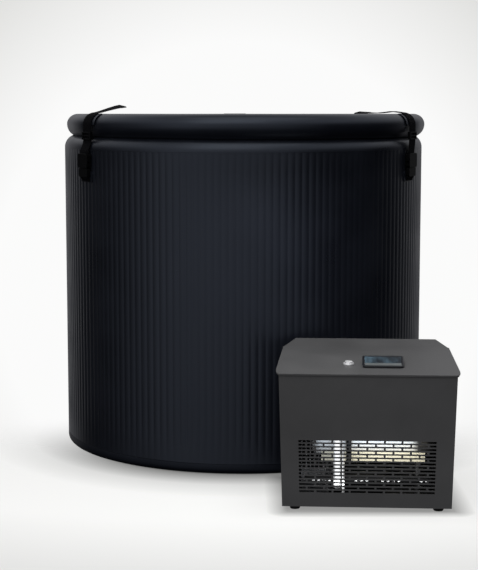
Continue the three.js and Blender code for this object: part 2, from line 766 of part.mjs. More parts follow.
// The white pipe rises from the pump in front of the barrel and turns down into its top
function risingPipe() {
  const bend = 20;
  const at = (y, z) => new THREE.Vector3(-61, y, z);
  const path = new THREE.CurvePath();
  path.add(new THREE.LineCurve3(at(21.6, 50), at(21, 50)));
  path.add(new THREE.QuadraticBezierCurve3(at(21, 50), at(12, 50), at(12, 62)));
  path.add(new THREE.LineCurve3(at(12, 62), at(12, 200)));
  path.add(new THREE.QuadraticBezierCurve3(at(12, 200), at(12, 200 + bend), at(12 + bend, 200 + bend)));
  path.add(new THREE.LineCurve3(at(12 + bend, 200 + bend), at(64 - bend, 200 + bend)));
  path.add(new THREE.QuadraticBezierCurve3(at(64 - bend, 200 + bend), at(64, 200 + bend), at(64, 200)));
  path.add(new THREE.LineCurve3(at(64, 200), at(64, 192.4)));
  const ring = shapeOf(arc(0, 0, 8, 0, 360, 10).slice(0, -1));
  return new THREE.ExtrudeGeometry(ring, { steps: 20, extrudePath: path, bevelEnabled: false });
}

function waterUnion() {
  return alongY(revolve([
    [8, 262],
    [14, 262],
    [14, CASE_DEPTH + GAP],
    [21, CASE_DEPTH + GAP],
    [21, CASE_DEPTH + 8],
    [13, CASE_DEPTH + 9],
    [13, CASE_DEPTH + 32],
    [8, CASE_DEPTH + 32],
  ]));
}

function mainsInlet() {
  const body = uprightPrism([[-13.5, -9.5], [13.5, -9.5], [13.5, 9.5], [-13.5, 9.5]], 256, 32);
  const flange = uprightPrism(roundedBox(-20, -14, 20, 14, 4), CASE_DEPTH + GAP, 3);
  const socket = block(-11, 11, CASE_DEPTH - 15, CASE_DEPTH + 8, -6.5, 6.5);
  const pins = [-7, 0, 7].map((x) => block(x - 1, x + 1, CASE_DEPTH - 16, CASE_DEPTH - 8, -2, 2));
  return join(cut(join(body, flange), socket), ...pins).translate(INLET.x, 0, INLET.z);
}

function addWorks(parent) {
  node(parent, "compressor", compressor(), FINISH.rubber);
  node(parent, "evaporator_barrel", barrel(), FINISH.steel);
  node(parent, "condenser", finBlock(), FINISH.steel);
  node(parent, "fan_shroud", fanShroud(), FINISH.moulding);
  node(parent, "fan_rotor", fanRotor(), FINISH.moulding);
  node(parent, "circulation_pump", circulationPump(), FINISH.moulding);
  node(parent, "rising_pipe", risingPipe(), FINISH.whitePipe);
  for (const { name, x, z } of UNIONS) {
    node(parent, `${name}_union`, waterUnion().translate(x, 0, z), FINISH.brass);
  }
  node(parent, "mains_inlet", mainsInlet(), FINISH.moulding);
}

const part = new THREE.Group();
part.name = "cold_plunge_tub";

const tub = new THREE.Group();
const lid = new THREE.Group();
const chiller = new THREE.Group();
chiller.position.set(CHILLER.x, CHILLER.y, 0);
chiller.rotation.z = radians(CHILLER.turn);
part.add(tub, lid, chiller);

addTub(tub);
addPorts(tub);
addLid(lid);
addAirValves(tub, lid);
addStraps(tub, lid);
addCasing(chiller);
addWorks(chiller);

export default part;
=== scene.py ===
# %% [markdown]
# # A cold plunge tub and its chiller
# The tub is a round, air-filled wall with fine upright flutes, closed by an air-filled lid that
# three buckled straps hold down. A sheet-metal chiller stands in front of it. The lesson loads the
# measured model first and then dresses it, piece by piece, and keeps its sizes to a few millimetres.

# %% Load the measured model
import json
import math

import bmesh
import bpy
from mathutils import Matrix, Vector, noise


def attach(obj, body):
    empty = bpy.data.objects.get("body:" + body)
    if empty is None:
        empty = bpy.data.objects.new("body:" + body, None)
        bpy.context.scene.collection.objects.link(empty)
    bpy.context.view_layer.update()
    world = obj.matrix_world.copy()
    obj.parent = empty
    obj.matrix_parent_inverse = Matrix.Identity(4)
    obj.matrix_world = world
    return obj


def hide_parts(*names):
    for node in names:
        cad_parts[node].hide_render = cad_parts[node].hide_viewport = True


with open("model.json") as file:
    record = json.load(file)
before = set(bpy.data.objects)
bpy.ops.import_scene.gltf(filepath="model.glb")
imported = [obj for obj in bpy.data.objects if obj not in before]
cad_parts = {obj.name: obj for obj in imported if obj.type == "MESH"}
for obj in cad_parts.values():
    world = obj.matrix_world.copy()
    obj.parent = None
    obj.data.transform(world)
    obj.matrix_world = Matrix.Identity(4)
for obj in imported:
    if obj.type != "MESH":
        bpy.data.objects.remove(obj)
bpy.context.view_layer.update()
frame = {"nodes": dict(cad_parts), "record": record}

nodes = frame["nodes"]
bodies = frame["record"]["behaviour"]["bodies"]
body_of_node = {node: body for body, members in bodies.items() for node in members}
slot_of_node = {part["node"]: part["material_slot"] for part in frame["record"]["subparts"]}

# %% [markdown]
# ## The camera
# The photograph was taken from a little above the lid's height with a long lens, so its verticals
# hardly converge. A lens could be chosen by eye, but its focal length in pixels follows from the
# measured edges. The lens in millimetres comes from it, as the sensor spans the picture's height.

# %% Set the camera
PHOTO_HEIGHT = 570
FOCAL_PIXELS = 1533.5
SENSOR = 36.0
CAMERA_PLACE = (-0.01046, -3.8221, 0.84925)
CAMERA_PITCH = 7.03

lens = bpy.data.cameras.new("photo_camera")
lens.sensor_width = SENSOR
lens.lens = FOCAL_PIXELS * SENSOR / PHOTO_HEIGHT
camera = bpy.data.objects.new("photo_camera", lens)
camera.location = CAMERA_PLACE
camera.rotation_euler = (math.radians(90 - CAMERA_PITCH), 0, 0)
scene = bpy.context.scene
scene.collection.objects.link(camera)
scene.camera = camera
scene.view_settings.view_transform = "Standard"
print(f"lens {lens.lens:.1f} mm")

# %% [markdown]
# ## Short calls for node trees
# Materials and Geometry Nodes are both trees of nodes. One helper adds a node, sets its plain
# inputs and links the inputs that are given as sockets, so that a tree reads from top to bottom.

# %% Tree helpers
def add(tree, kind, inputs=None, **settings):
    node = tree.nodes.new(kind)
    for name, value in settings.items():
        setattr(node, name, value)
    for key, value in (inputs or {}).items():
        if isinstance(value, bpy.types.NodeSocket):
            tree.links.new(value, node.inputs[key])
        else:
            node.inputs[key].default_value = value
    return node


def maths(tree, operation, *values):
    return add(tree, "ShaderNodeMath", dict(enumerate(values)), operation=operation).outputs[0]


def vector(tree, operation, *values, read="Vector"):
    return add(tree, "ShaderNodeVectorMath", dict(enumerate(values)), operation=operation).outputs[read]


def scaled(tree, colour, share):
    return add(tree, "ShaderNodeVectorMath", {0: colour, "Scale": share}, operation="SCALE").outputs["Vector"]


def between(tree, value, low, high, from_low, from_high):
    inputs = {"Value": value, "From Min": from_low, "From Max": from_high, "To Min": low, "To Max": high}
    return add(tree, "ShaderNodeMapRange", inputs).outputs["Result"]


def eased(tree, value, from_low, from_high):
    inputs = {"Value": value, "From Min": from_low, "From Max": from_high}
    return add(tree, "ShaderNodeMapRange", inputs, interpolation_type="SMOOTHSTEP").outputs["Result"]


def tint(tree, factor, dark, light):
    inputs = {"Factor": factor, 6: (*dark, 1), 7: (*light, 1)}
    return add(tree, "ShaderNodeMix", inputs, data_type="RGBA").outputs[2]


def mixed(tree, factor, first, second):
    inputs = {0: factor, 1: first.outputs[0], 2: second.outputs[0]}
    return add(tree, "ShaderNodeMixShader", inputs)


# %% [markdown]
# ## Studio
# A pale floor fades out into a pale surround, so no horizon shows. The camera sees the surround
# almost white, but the satin wall mirrors another one, as between black flags in a studio. That one
# is bright behind the tub and in front to the left, black at the two sides and nearly black below.
# A bright band above it fades towards the zenith. So the wall has bright grazing edges, dark flanks
# and a soft grey middle.

# %% The surround
SURROUND_PALE = (0.965, 0.965, 0.962)
SURROUND_CORNER = (0.73, 0.73, 0.715)
CORNER_ANGLES = (9.0, 14.0)
OVERHEAD = (0.72, 0.72, 0.74)
ZENITH = (0.38, 0.38, 0.38)
BELOW_LEVEL = 0.05
BLUE_SHARE = 1.04
# Heights of a unit direction between which one part of the surround gives way to the next
BELOW_HEIGHTS = (-0.10, -0.45)
OVERHEAD_HEIGHTS = (0.18, 0.56)
ZENITH_HEIGHTS = (0.72, 0.95)
# Brightness of the surround by bearing, in degrees from the camera, positive to the right
SURROUND_BY_BEARING = (
    (-180, 0.38),
    (-148, 0.36),
    (-122, 0.03),
    (-98, 0.012),
    (-72, 0.22),
    (-41, 0.68),
    (-8, 0.50),
    (20, 0.42),
    (38, 0.14),
    (48, 0.0),
    (98, 0.0),
    (116, 0.06),
    (142, 0.28),
    (180, 0.38),
)


def surround_for_light(tree, toward):
    axes = add(tree, "ShaderNodeSeparateXYZ", {0: toward}).outputs
    bearing = maths(tree, "ARCTAN2", axes["X"], maths(tree, "MULTIPLY", axes["Y"], -1.0))
    turn = between(tree, bearing, 0.0, 1.0, -math.pi, math.pi)
    ramp = add(tree, "ShaderNodeValToRGB", {"Fac": turn})
    stops = ramp.color_ramp.elements
    while len(stops) < len(SURROUND_BY_BEARING):
        stops.new(0.5)
    for stop, (degrees, level) in zip(stops, SURROUND_BY_BEARING):
        stop.position = (degrees + 180) / 360
        stop.color = (level, level, level * BLUE_SHARE, 1)
    below = between(tree, axes["Z"], 1.0, BELOW_LEVEL, *BELOW_HEIGHTS)
    around = scaled(tree, ramp.outputs["Color"], below)
    above = between(tree, axes["Z"], 0.0, 1.0, *OVERHEAD_HEIGHTS)
    crown = tint(tree, between(tree, axes["Z"], 0.0, 1.0, *ZENITH_HEIGHTS), OVERHEAD, ZENITH)
    inputs = {"Factor": above, 6: around, 7: crown}
    return add(tree, "ShaderNodeMix", inputs, data_type="RGBA").outputs[2]


def build_surround():
    world = bpy.data.worlds.new("studio")
    scene.world = world
    world.use_nodes = True
    tree = world.node_tree
    tree.nodes.clear()
    toward = add(tree, "ShaderNodeTexCoord").outputs["Generated"]
    lit = add(tree, "ShaderNodeBackground", {"Color": surround_for_light(tree, toward)})
    ahead = camera.matrix_world.to_3x3() @ Vector((0, 0, -1))
    centred = vector(tree, "DOT_PRODUCT", toward, ahead, read="Value")
    inner, outer = (math.cos(math.radians(angle)) for angle in CORNER_ANGLES)
    corner = between(tree, centred, 0.0, 1.0, inner, outer)
    seen = add(tree, "ShaderNodeBackground", {"Color": tint(tree, corner, SURROUND_PALE, SURROUND_CORNER)})
    camera_ray = add(tree, "ShaderNodeLightPath").outputs["Is Camera Ray"]
    add(tree, "ShaderNodeOutputWorld", {"Surface": mixed(tree, camera_ray, lit, seen).outputs[0]})


bpy.context.view_layer.update()
build_surround()
print("surround ready")

# %% [markdown]
# Strong lamps would make a matt floor white, but they would also wash out the dark wall. So the floor
# is partly lit from below, as a light table is. Shade is painted into its colour: a painted shadow close
# to the tub and under the chiller, and a painted falloff towards the camera. Mirroring and diffuse rays pass
# through it.

# %% The floor
FLOOR_COLOUR = (0.95, 0.95, 0.935)
FLOOR_RADIUS = 6.0
FLOOR_SIDES = 96
FLOOR_FADE = (1.0, 2.4)
FLOOR_BEHIND = (-0.45, 0.20)
FLOOR_REAR = (0.0, 0.6, 0.0)
FALLOFF_LEVEL = 0.84
FALLOFF_REACH = (1.42, 1.76)
BACKLIT_SHARE = 0.60
BACKLIT_STRENGTH = 1.14
TUB_FOOT = 0.430
# Levels and reaches of the painted shadow on the floor, at the tub's foot and under the chiller
CONTACT_SHADOW_LEVEL = 0.40
CONTACT_REACH = 0.10
NEAR_SHADOW_LEVEL = 0.60
NEAR_REACH = 0.21
CHILLER_MIDDLE = (0.261, -0.607, 0.0)
CHILLER_HALF = (0.172, 0.140, 1.0)
CHILLER_SHADOW_LEVEL = 0.45
CHILLER_REACH = 0.045


# Painted shade: darker near the tub's foot and under the chiller, with a painted falloff further out towards
# the camera
def painted_floor_shade(tree, place, reach):
    contact = between(tree, reach, CONTACT_SHADOW_LEVEL, 1.0, TUB_FOOT, TUB_FOOT + CONTACT_REACH)
    near = between(tree, reach, NEAR_SHADOW_LEVEL, 1.0, TUB_FOOT, TUB_FOOT + NEAR_REACH)
    from_rear = vector(tree, "DISTANCE", place, FLOOR_REAR, read="Value")
    painted_falloff = between(tree, from_rear, 1.0, FALLOFF_LEVEL, *FALLOFF_REACH)
    apart = vector(tree, "ABSOLUTE", vector(tree, "SUBTRACT", place, CHILLER_MIDDLE))
    beyond = vector(tree, "MAXIMUM", vector(tree, "SUBTRACT", apart, CHILLER_HALF), (0, 0, 0))
    gap = vector(tree, "LENGTH", beyond, read="Value")
    painted_chiller_shadow = between(tree, gap, CHILLER_SHADOW_LEVEL, 1.0, 0.0, CHILLER_REACH)
    painted_tub_shadow = maths(tree, "MULTIPLY", contact, near)
    return maths(tree, "MULTIPLY", maths(tree, "MULTIPLY", painted_tub_shadow, painted_chiller_shadow), painted_falloff)


def build_floor():
    mesh = bpy.data.meshes.new("floor")
    work = bmesh.new()
    bmesh.ops.create_circle(work, cap_ends=True, segments=FLOOR_SIDES, radius=FLOOR_RADIUS)
    work.to_mesh(mesh)
    work.free()
    floor = bpy.data.objects.new("floor", mesh)
    scene.collection.objects.link(floor)
    material = bpy.data.materials.new("studio_floor")
    material.use_nodes = True
    tree = material.node_tree
    tree.nodes.clear()
    place = add(tree, "ShaderNodeTexCoord").outputs["Object"]
    reach = vector(tree, "LENGTH", place, read="Value")
    depth = add(tree, "ShaderNodeSeparateXYZ", {0: place}).outputs["Y"]
    fade = maths(tree, "MAXIMUM", eased(tree, reach, *FLOOR_FADE), eased(tree, depth, *FLOOR_BEHIND))
    shade = scaled(tree, FLOOR_COLOUR, painted_floor_shade(tree, place, reach))
    matt = add(tree, "ShaderNodeBsdfDiffuse", {"Color": shade})
    backlit = add(tree, "ShaderNodeEmission", {"Color": shade, "Strength": BACKLIT_STRENGTH})
    ground = mixed(tree, BACKLIT_SHARE, matt, backlit)
    clear = add(tree, "ShaderNodeBsdfTransparent")
    add(tree, "ShaderNodeOutputMaterial", {"Surface": mixed(tree, fade, ground, clear).outputs[0]})
    mesh.materials.append(material)
    floor.visible_glossy = False
    floor.visible_diffuse = False


build_floor()
print("floor ready")

# %% [markdown]
# Two large softboxes, one high in front and one overhead, light everything softly. A small one close
# above the chiller lifts the grey of its cover. It is hidden from mirroring rays, because the satin
# wall behind it would show it as a bright patch.

# %% The lamps
def softbox(name, place, aim, size, watts, colour=(1, 1, 1), mirrored=True):
    lamp = bpy.data.lights.new(name, "AREA")
    lamp.shape = "RECTANGLE"
    lamp.size, lamp.size_y = size
    lamp.energy = watts
    lamp.color = colour
    box = bpy.data.objects.new(name, lamp)
    box.location = place
    box.rotation_euler = (Vector(aim) - Vector(place)).to_track_quat("-Z", "Z").to_euler()
    box.visible_camera = mirrored
    box.visible_glossy = mirrored
    scene.collection.objects.link(box)


softbox("key_softbox", place=(-0.6, -2.9, 3.1), aim=(0.05, -0.4, 0.3), size=(2.8, 2.0), watts=15)
softbox("overhead_softbox", place=(0.1, -1.3, 3.8), aim=(0.1, -0.7, 0.3), size=(3.0, 2.0), watts=16)
softbox("chiller_softbox", place=(0.11, -0.68, 0.68), aim=(0.11, -0.675, 0.30), size=(0.30, 0.12),
        watts=1.45, mirrored=False)
print("lamps ready")

# %% [markdown]
# ## Finishes
# Each finish is a node tree on Object coordinates, or on a piece's own UV map where a pattern
# follows the piece. Fine bump and uneven roughness keep large plain surfaces from looking drawn.

# %% A blank finish, and one with grain
# A noise texture hardly leaves this range
NOISE_RANGE = (0.3, 0.7)
CLOUD_SCALE = 9.0
CLOUD_DETAIL = 4.0
COLOUR_DRIFT = (0.86, 1.14)


def blank(name, colour, roughness, metallic=0.0):
    material = bpy.data.materials.new(name)
    material.use_nodes = True
    tree = material.node_tree
    shader = tree.nodes["Principled BSDF"]
    shader.inputs["Base Color"].default_value = (*colour, 1)
    shader.inputs["Roughness"].default_value = roughness
    shader.inputs["Metallic"].default_value = metallic
    return material, tree, shader


def speckle(tree, scale, detail=2.0, stretch=(1, 1, 1)):
    place = add(tree, "ShaderNodeTexCoord").outputs["Object"]
    if stretch != (1, 1, 1):
        place = add(tree, "ShaderNodeMapping", {"Vector": place, "Scale": stretch}).outputs[0]
    return add(tree, "ShaderNodeTexNoise", {"Vector": place, "Scale": scale, "Detail": detail}).outputs[0]


def bump(tree, shader, height, strength, depth):
    inputs = {"Height": height, "Strength": strength, "Distance": depth}
    tree.links.new(add(tree, "ShaderNodeBump", inputs).outputs[0], shader.inputs["Normal"])


def grained(name, colour, roughness, grain, metallic=0.0, spread=0.06, strength=0.25, depth=0.0002,
            gleam=(1, 1, 1), shine=0.5):
    """A finish with cloudy roughness, a little colour drift and a fine grain in relief."""
    material, tree, shader = blank(name, colour, roughness, metallic)
    shader.inputs["Specular Tint"].default_value = (*gleam, 1)
    shader.inputs["Specular IOR Level"].default_value = shine
    drift = speckle(tree, CLOUD_SCALE, CLOUD_DETAIL)
    cloudy = between(tree, drift, roughness - spread, roughness + spread, *NOISE_RANGE)
    tree.links.new(cloudy, shader.inputs["Roughness"])
    dark, light = (tuple(min(1.0, share * c) for c in colour) for share in COLOUR_DRIFT)
    drifted = tint(tree, between(tree, drift, 0.0, 1.0, *NOISE_RANGE), dark, light)
    tree.links.new(drifted, shader.inputs["Base Color"])
    bump(tree, shader, speckle(tree, grain), strength, depth)
    return material


# %% [markdown]
# Webbing is woven, and fine slanted ridges cross on its face. Modelled threads would cost far too
# many faces, and a pattern on Object coordinates would slide off at each bend. Two slanted waves on
# the band's own UV map, which is in metres, follow it round every bend.

# %% Webbing
TWILL_SLANT = 38.0
TWILL_SCALE = 150.0
TWILL_DARK = (0.0012, 0.0012, 0.0016)
TWILL_LIGHT = (0.0045, 0.0045, 0.0055)


def webbing():
    material, tree, shader = blank("strap_webbing", (0.005, 0.005, 0.006), 0.80)
    shader.inputs["Specular IOR Level"].default_value = 0.04
    place = add(tree, "ShaderNodeTexCoord").outputs["UV"]
    ridges = []
    for slant in (TWILL_SLANT, -TWILL_SLANT):
        turned_by = (0, 0, math.radians(slant))
        slanted = add(tree, "ShaderNodeMapping", {"Vector": place, "Rotation": turned_by}).outputs[0]
        wave = add(tree, "ShaderNodeTexWave", {"Vector": slanted, "Scale": TWILL_SCALE})
        ridges.append(wave.outputs["Fac"])
    twill = maths(tree, "MAXIMUM", *ridges)
    tree.links.new(tint(tree, twill, TWILL_DARK, TWILL_LIGHT), shader.inputs["Base Color"])
    bump(tree, shader, twill, strength=0.6, depth=0.0004)
    return material


# %% [markdown]
# The display's glass is dark under a clear coat, with a faint blue sheen that streaks across it: a
# painted reflection. A lamp could give the sheen, but it would light the casing too. Stretched noise in
# the colour paints it for the glass alone.

# %% Display glass
GLASS_DARK = (0.014, 0.020, 0.026)
GLASS_PAINTED_REFLECTION = (0.085, 0.140, 0.180)
REFLECTION_STREAK_RANGE = (0.38, 0.68)
REFLECTION_STREAK_STRETCH = (2.2, 0.5, 0.5)


def display_glass():
    material, tree, shader = blank("display_glass", (0.01, 0.014, 0.02), 0.10)
    shader.inputs["Coat Weight"].default_value = 1.0
    shader.inputs["Coat Roughness"].default_value = 0.05
    # Painted reflection: blue streaks in the glass's colour
    reflection_streak = speckle(tree, 20.0, 3.0, REFLECTION_STREAK_STRETCH)
    painted_sheen = tint(tree, between(tree, reflection_streak, 0.0, 1.0, *REFLECTION_STREAK_RANGE), GLASS_DARK, GLASS_PAINTED_REFLECTION)
    tree.links.new(painted_sheen, shader.inputs["Base Color"])
    return material


# %% [markdown]
# The barrel behind the grille is pale, and painted shade makes it black low down under it and at its
# right end. The mesh could be cut there to take two finishes. Two soft thresholds, one by height and
# one along the barrel, need no cut.

# %% The barrel's painted shade
CHILLER = Matrix.Translation((0.252, -0.749, 0)) @ Matrix.Rotation(math.radians(-3.6), 4, "Z")
BARREL_PAINTED_SHADE = (0.004, 0.004, 0.005)
BARREL_PALE = (0.62, 0.63, 0.64)
PAINTED_SHADE_FOOT = (0.105, 0.109)
PAINTED_SHADE_END = (0.094, 0.106)


def barrel_with_painted_shade():
    material, tree, shader = blank("barrel_with_painted_shade", (0.7, 0.7, 0.7), 0.55)
    place = add(tree, "ShaderNodeTexCoord").outputs["Object"]
    height = add(tree, "ShaderNodeSeparateXYZ", {0: place}).outputs["Z"]
    aside = vector(tree, "SUBTRACT", place, CHILLER.translation)
    along = vector(tree, "DOT_PRODUCT", aside, CHILLER.col[0].to_3d(), read="Value")
    # Painted shade: black under the barrel's lower part and at its right end, pale elsewhere
    above_painted_shade = between(tree, height, 0.0, 1.0, *PAINTED_SHADE_FOOT)
    short = between(tree, along, 1.0, 0.0, *PAINTED_SHADE_END)
    painted_shade = tint(tree, maths(tree, "MULTIPLY", above_painted_shade, short), BARREL_PAINTED_SHADE, BARREL_PALE)
    tree.links.new(painted_shade, shader.inputs["Base Color"])
    bump(tree, shader, speckle(tree, 500.0), strength=0.08, depth=0.0002)
    return material


# %% The finishes of this object
FABRIC = {"grain": 1500.0, "spread": 0.05, "strength": 0.10, "depth": 0.00015, "gleam": (0.72, 0.82, 1.0)}
FINISH = {
    "vinyl": grained("coated_fabric", (0.0066, 0.0076, 0.0112), 0.32, **FABRIC),
    "liner": grained(
        "liner_sheet", (0.018, 0.020, 0.025), 0.44, 1300.0, strength=0.12, gleam=FABRIC["gleam"]
    ),
    "webbing": webbing(),
    "moulding": grained("moulded_black", (0.0016, 0.0017, 0.0020), 0.42, 1800.0, strength=0.18, shine=0.06),
    "casing": grained("powder_coat", (0.064, 0.064, 0.0645), 0.52, 1100.0, spread=0.04, strength=0.22),
    "display": grained("display_frame", (0.008, 0.009, 0.011), 0.30, 900.0, spread=0.04, strength=0.05),
    "chrome": grained("satin_chrome", (0.93, 0.93, 0.94), 0.42, 700.0, 0.75, spread=0.04, strength=0.02),
    "rubber": grained("foot_rubber", (0.008, 0.008, 0.008), 0.85, 1400.0, strength=0.35),
    "compressor_can": grained("black_enamel", (0.008, 0.008, 0.009), 0.35, 900.0),
    "barrel_steel": barrel_with_painted_shade(),
    "fins": grained("bare_aluminium", (0.62, 0.63, 0.65), 0.36, 600.0, 1.0, strength=0.1),
    "white_pipe": grained("white_pipe", (0.70, 0.71, 0.72), 0.38, 800.0, strength=0.05),
    "brass": grained("bare_brass", (0.62, 0.44, 0.19), 0.28, 700.0, 1.0, strength=0.08),
}
# Four pieces have a look of their own within their slot. The base band's darker, duller copy of the
# vinyl is painted shade at the tub's foot, the glass holds a painted reflection, and the sill's lighter
# grey is a painted highlight.
BASE_PAINTED_SHADE = grained("base_fabric_painted_shade", (0.0062, 0.0072, 0.0104), 0.40, **FABRIC, shine=0.14)
GLASS = display_glass()
APRON = grained("barrel_apron", (0.60, 0.57, 0.46), 0.50, 700.0)
LIP_PAINTED_HIGHLIGHT = grained("display_sill_painted_highlight", (0.11, 0.12, 0.12), 0.35, 900.0, strength=0.05)
print(f"{len(FINISH)} slots have a finish")

# %% [markdown]
# ## Keeping a piece
# Every piece rides on a body of the measured model. One call names the body, the node that the
# piece stands for and the finish that it takes, so that none is forgotten. Faces are shaded smooth,
# and edges that turn sharply or lie open are marked sharp, so that light doesn't smear across them.

# %% Keep a mesh as a piece
SMOOTH_ANGLE = 35.0


def sharpen_open_edges(mesh):
    shared = [0] * len(mesh.edges)
    for loop in mesh.loops:
        shared[loop.edge_index] += 1
    for edge, count in zip(mesh.edges, shared):
        if count == 1:
            edge.use_edge_sharp = True


def keep(name, mesh, finish, body=None, stands_for=(), smooth=SMOOTH_ANGLE, material=None):
    mesh.materials.clear()
    mesh.materials.append(material or FINISH[finish])
    mesh.polygons.foreach_set("use_smooth", [True] * len(mesh.polygons))
    mesh.set_sharp_from_angle(angle=math.radians(smooth))
    sharpen_open_edges(mesh)
    piece = bpy.data.objects.new(name, mesh)
    scene.collection.objects.link(piece)
    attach(piece, body or body_of_node[stands_for[0]])
    if stands_for:
        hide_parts(*stands_for)
    return piece


def mesh_of(name, corners, faces, uv=None):
    mesh = bpy.data.meshes.new(name)
    mesh.from_pydata(corners, [], faces)
    if uv:
        layer = mesh.uv_layers.new(name="along")
        for loop in mesh.loops:
            layer.data[loop.index].uv = uv[loop.vertex_index]
    mesh.update()
    return mesh


def face_outwards(mesh):
    work = bmesh.new()
    work.from_mesh(mesh)
    bmesh.ops.recalc_face_normals(work, faces=work.faces)
    work.to_mesh(mesh)
    work.free()


# %% [markdown]
# ## The fluted wall
# Rows of threads inside the wall hold its two skins apart, and the outer skin swells a little
# between the rows. That leaves upright flutes with soft crowns and sharp valleys. An array of strips
# could make them, but its joints would show. Here the rule is an absolute sine round a circle, swept
# up a line: a Geometry Nodes tree with the counts and sizes as inputs.

# %% Grow a plain mesh from a node tree
def tree_with(name, inputs):
    tree = bpy.data.node_groups.new(name, "GeometryNodeTree")
    tree.interface.new_socket("Geometry", in_out="OUTPUT", socket_type="NodeSocketGeometry")
    for label, kind in inputs.items():
        tree.interface.new_socket(label, in_out="INPUT", socket_type=f"NodeSocket{kind}")
    return tree, add(tree, "NodeGroupInput").outputs


def grown(name, tree, values, path=None):
    holder = bpy.data.objects.new(name, path or bpy.data.meshes.new(name))
    scene.collection.objects.link(holder)
    modifier = holder.modifiers.new("grow", "NODES")
    modifier.node_group = tree
    for socket in tree.interface.items_tree:
        if socket.in_out == "INPUT" and socket.name in values:
            modifier[socket.identifier] = values[socket.name]
    ready = holder.evaluated_get(bpy.context.evaluated_depsgraph_get())
    mesh = bpy.data.meshes.new_from_object(ready)
    bpy.data.objects.remove(holder)
    return mesh


# %% Grow the wall
TUB_RADIUS = 0.440
WALL_FOOT = 0.0243
WALL_HEAD = 0.7247
WALL_ROWS = 30
WALL_SKIN = 0.0018
WALL_SMOOTH = 24
RIBS = 168
POINTS_A_RIB = 8
RIB_DEPTH = 0.0009
RIB_FADE = 0.014
CROWN_POWER = 0.8
# The flutes fade out over a longer stretch at the foot than at the head
FOOT_SOFTNESS = 0.22


def fluted_wall_tree():
    counts = {"Ribs": "Int", "Points": "Int", "Rows": "Int"}
    sizes = {"Radius": "Float", "Depth": "Float", "Foot": "Float", "Head": "Float", "Fade": "Float"}
    tree, given = tree_with("Fluted wall", {**counts, **sizes})
    circle = {"Resolution": given["Points"], "Radius": given["Radius"]}
    ring = add(tree, "GeometryNodeCurvePrimitiveCircle", circle)
    ends = [add(tree, "ShaderNodeCombineXYZ", {"Z": given[end]}).outputs[0] for end in ("Foot", "Head")]
    line = add(tree, "GeometryNodeCurvePrimitiveLine", {"Start": ends[0], "End": ends[1]})
    rows = add(tree, "GeometryNodeResampleCurve", {"Curve": line.outputs[0], "Count": given["Rows"]})
    wall = add(tree, "GeometryNodeCurveToMesh", {"Curve": rows.outputs[0], "Profile Curve": ring.outputs[0]})
    spot = add(tree, "GeometryNodeInputPosition").outputs[0]
    axes = add(tree, "ShaderNodeSeparateXYZ", {0: spot}).outputs
    turn = maths(tree, "ARCTAN2", axes["Y"], axes["X"])
    half_waves = maths(tree, "MULTIPLY", maths(tree, "MULTIPLY", turn, given["Ribs"]), 0.5)
    crown = maths(tree, "POWER", maths(tree, "ABSOLUTE", maths(tree, "SINE", half_waves)), CROWN_POWER)
    from_foot = maths(tree, "MULTIPLY", maths(tree, "SUBTRACT", axes["Z"], given["Foot"]), FOOT_SOFTNESS)
    from_head = maths(tree, "SUBTRACT", given["Head"], axes["Z"])
    fade = eased(tree, maths(tree, "MINIMUM", from_foot, from_head), 0.0, given["Fade"])
    valley = maths(tree, "MULTIPLY", maths(tree, "SUBTRACT", 1.0, crown), fade)
    drop = maths(tree, "DIVIDE", maths(tree, "MULTIPLY", valley, given["Depth"]), given["Radius"])
    share = maths(tree, "SUBTRACT", 1.0, drop)
    shrink = add(tree, "ShaderNodeCombineXYZ", {"X": share, "Y": share, "Z": 1.0}).outputs[0]
    pulled = vector(tree, "MULTIPLY", spot, shrink)
    flutes = add(tree, "GeometryNodeSetPosition", {"Geometry": wall.outputs[0], "Position": pulled})
    whole = add(tree, "GeometryNodeRealizeInstances", {"Geometry": flutes.outputs[0]})
    finish = {"Geometry": whole.outputs[0], "Material": FINISH["vinyl"]}
    add(tree, "NodeGroupOutput", {0: add(tree, "GeometryNodeSetMaterial", finish).outputs[0]})
    return tree


wall_counts = {"Ribs": RIBS, "Points": RIBS * POINTS_A_RIB, "Rows": WALL_ROWS}
wall_heights = {"Foot": WALL_FOOT, "Head": WALL_HEAD}
wall_sizes = {"Radius": TUB_RADIUS, "Depth": RIB_DEPTH, "Fade": RIB_FADE, **wall_heights}
wall_mesh = grown("fluted_wall", fluted_wall_tree(), {**wall_counts, **wall_sizes})
outward = sum(face.normal.x * face.center.x + face.normal.y * face.center.y for face in wall_mesh.polygons)
if outward < 0:
    wall_mesh.flip_normals()
fluted_wall = keep("fluted_wall", wall_mesh, "vinyl", stands_for=("outer_skin",), smooth=WALL_SMOOTH)
skin = fluted_wall.modifiers.new("skin", "SOLIDIFY")
skin.thickness = WALL_SKIN
skin.offset = -1.0
print(f"wall: {len(wall_mesh.polygons)} faces")

# %% [markdown]
# ## Rim, base band and lid
# These are turned shapes: a profile swept round the axis. A Screw modifier would turn them too. A
# short function also closes seams and poles and can bend each point on its way.

# %% Turn a profile about the tub's axis
ON_AXIS = 1e-6


def arc(centre, radius, start, end, steps):
    angles = [math.radians(start + (end - start) * i / steps) for i in range(steps + 1)]
    return [(centre[0] + radius * math.cos(a), centre[1] + radius * math.sin(a)) for a in angles]


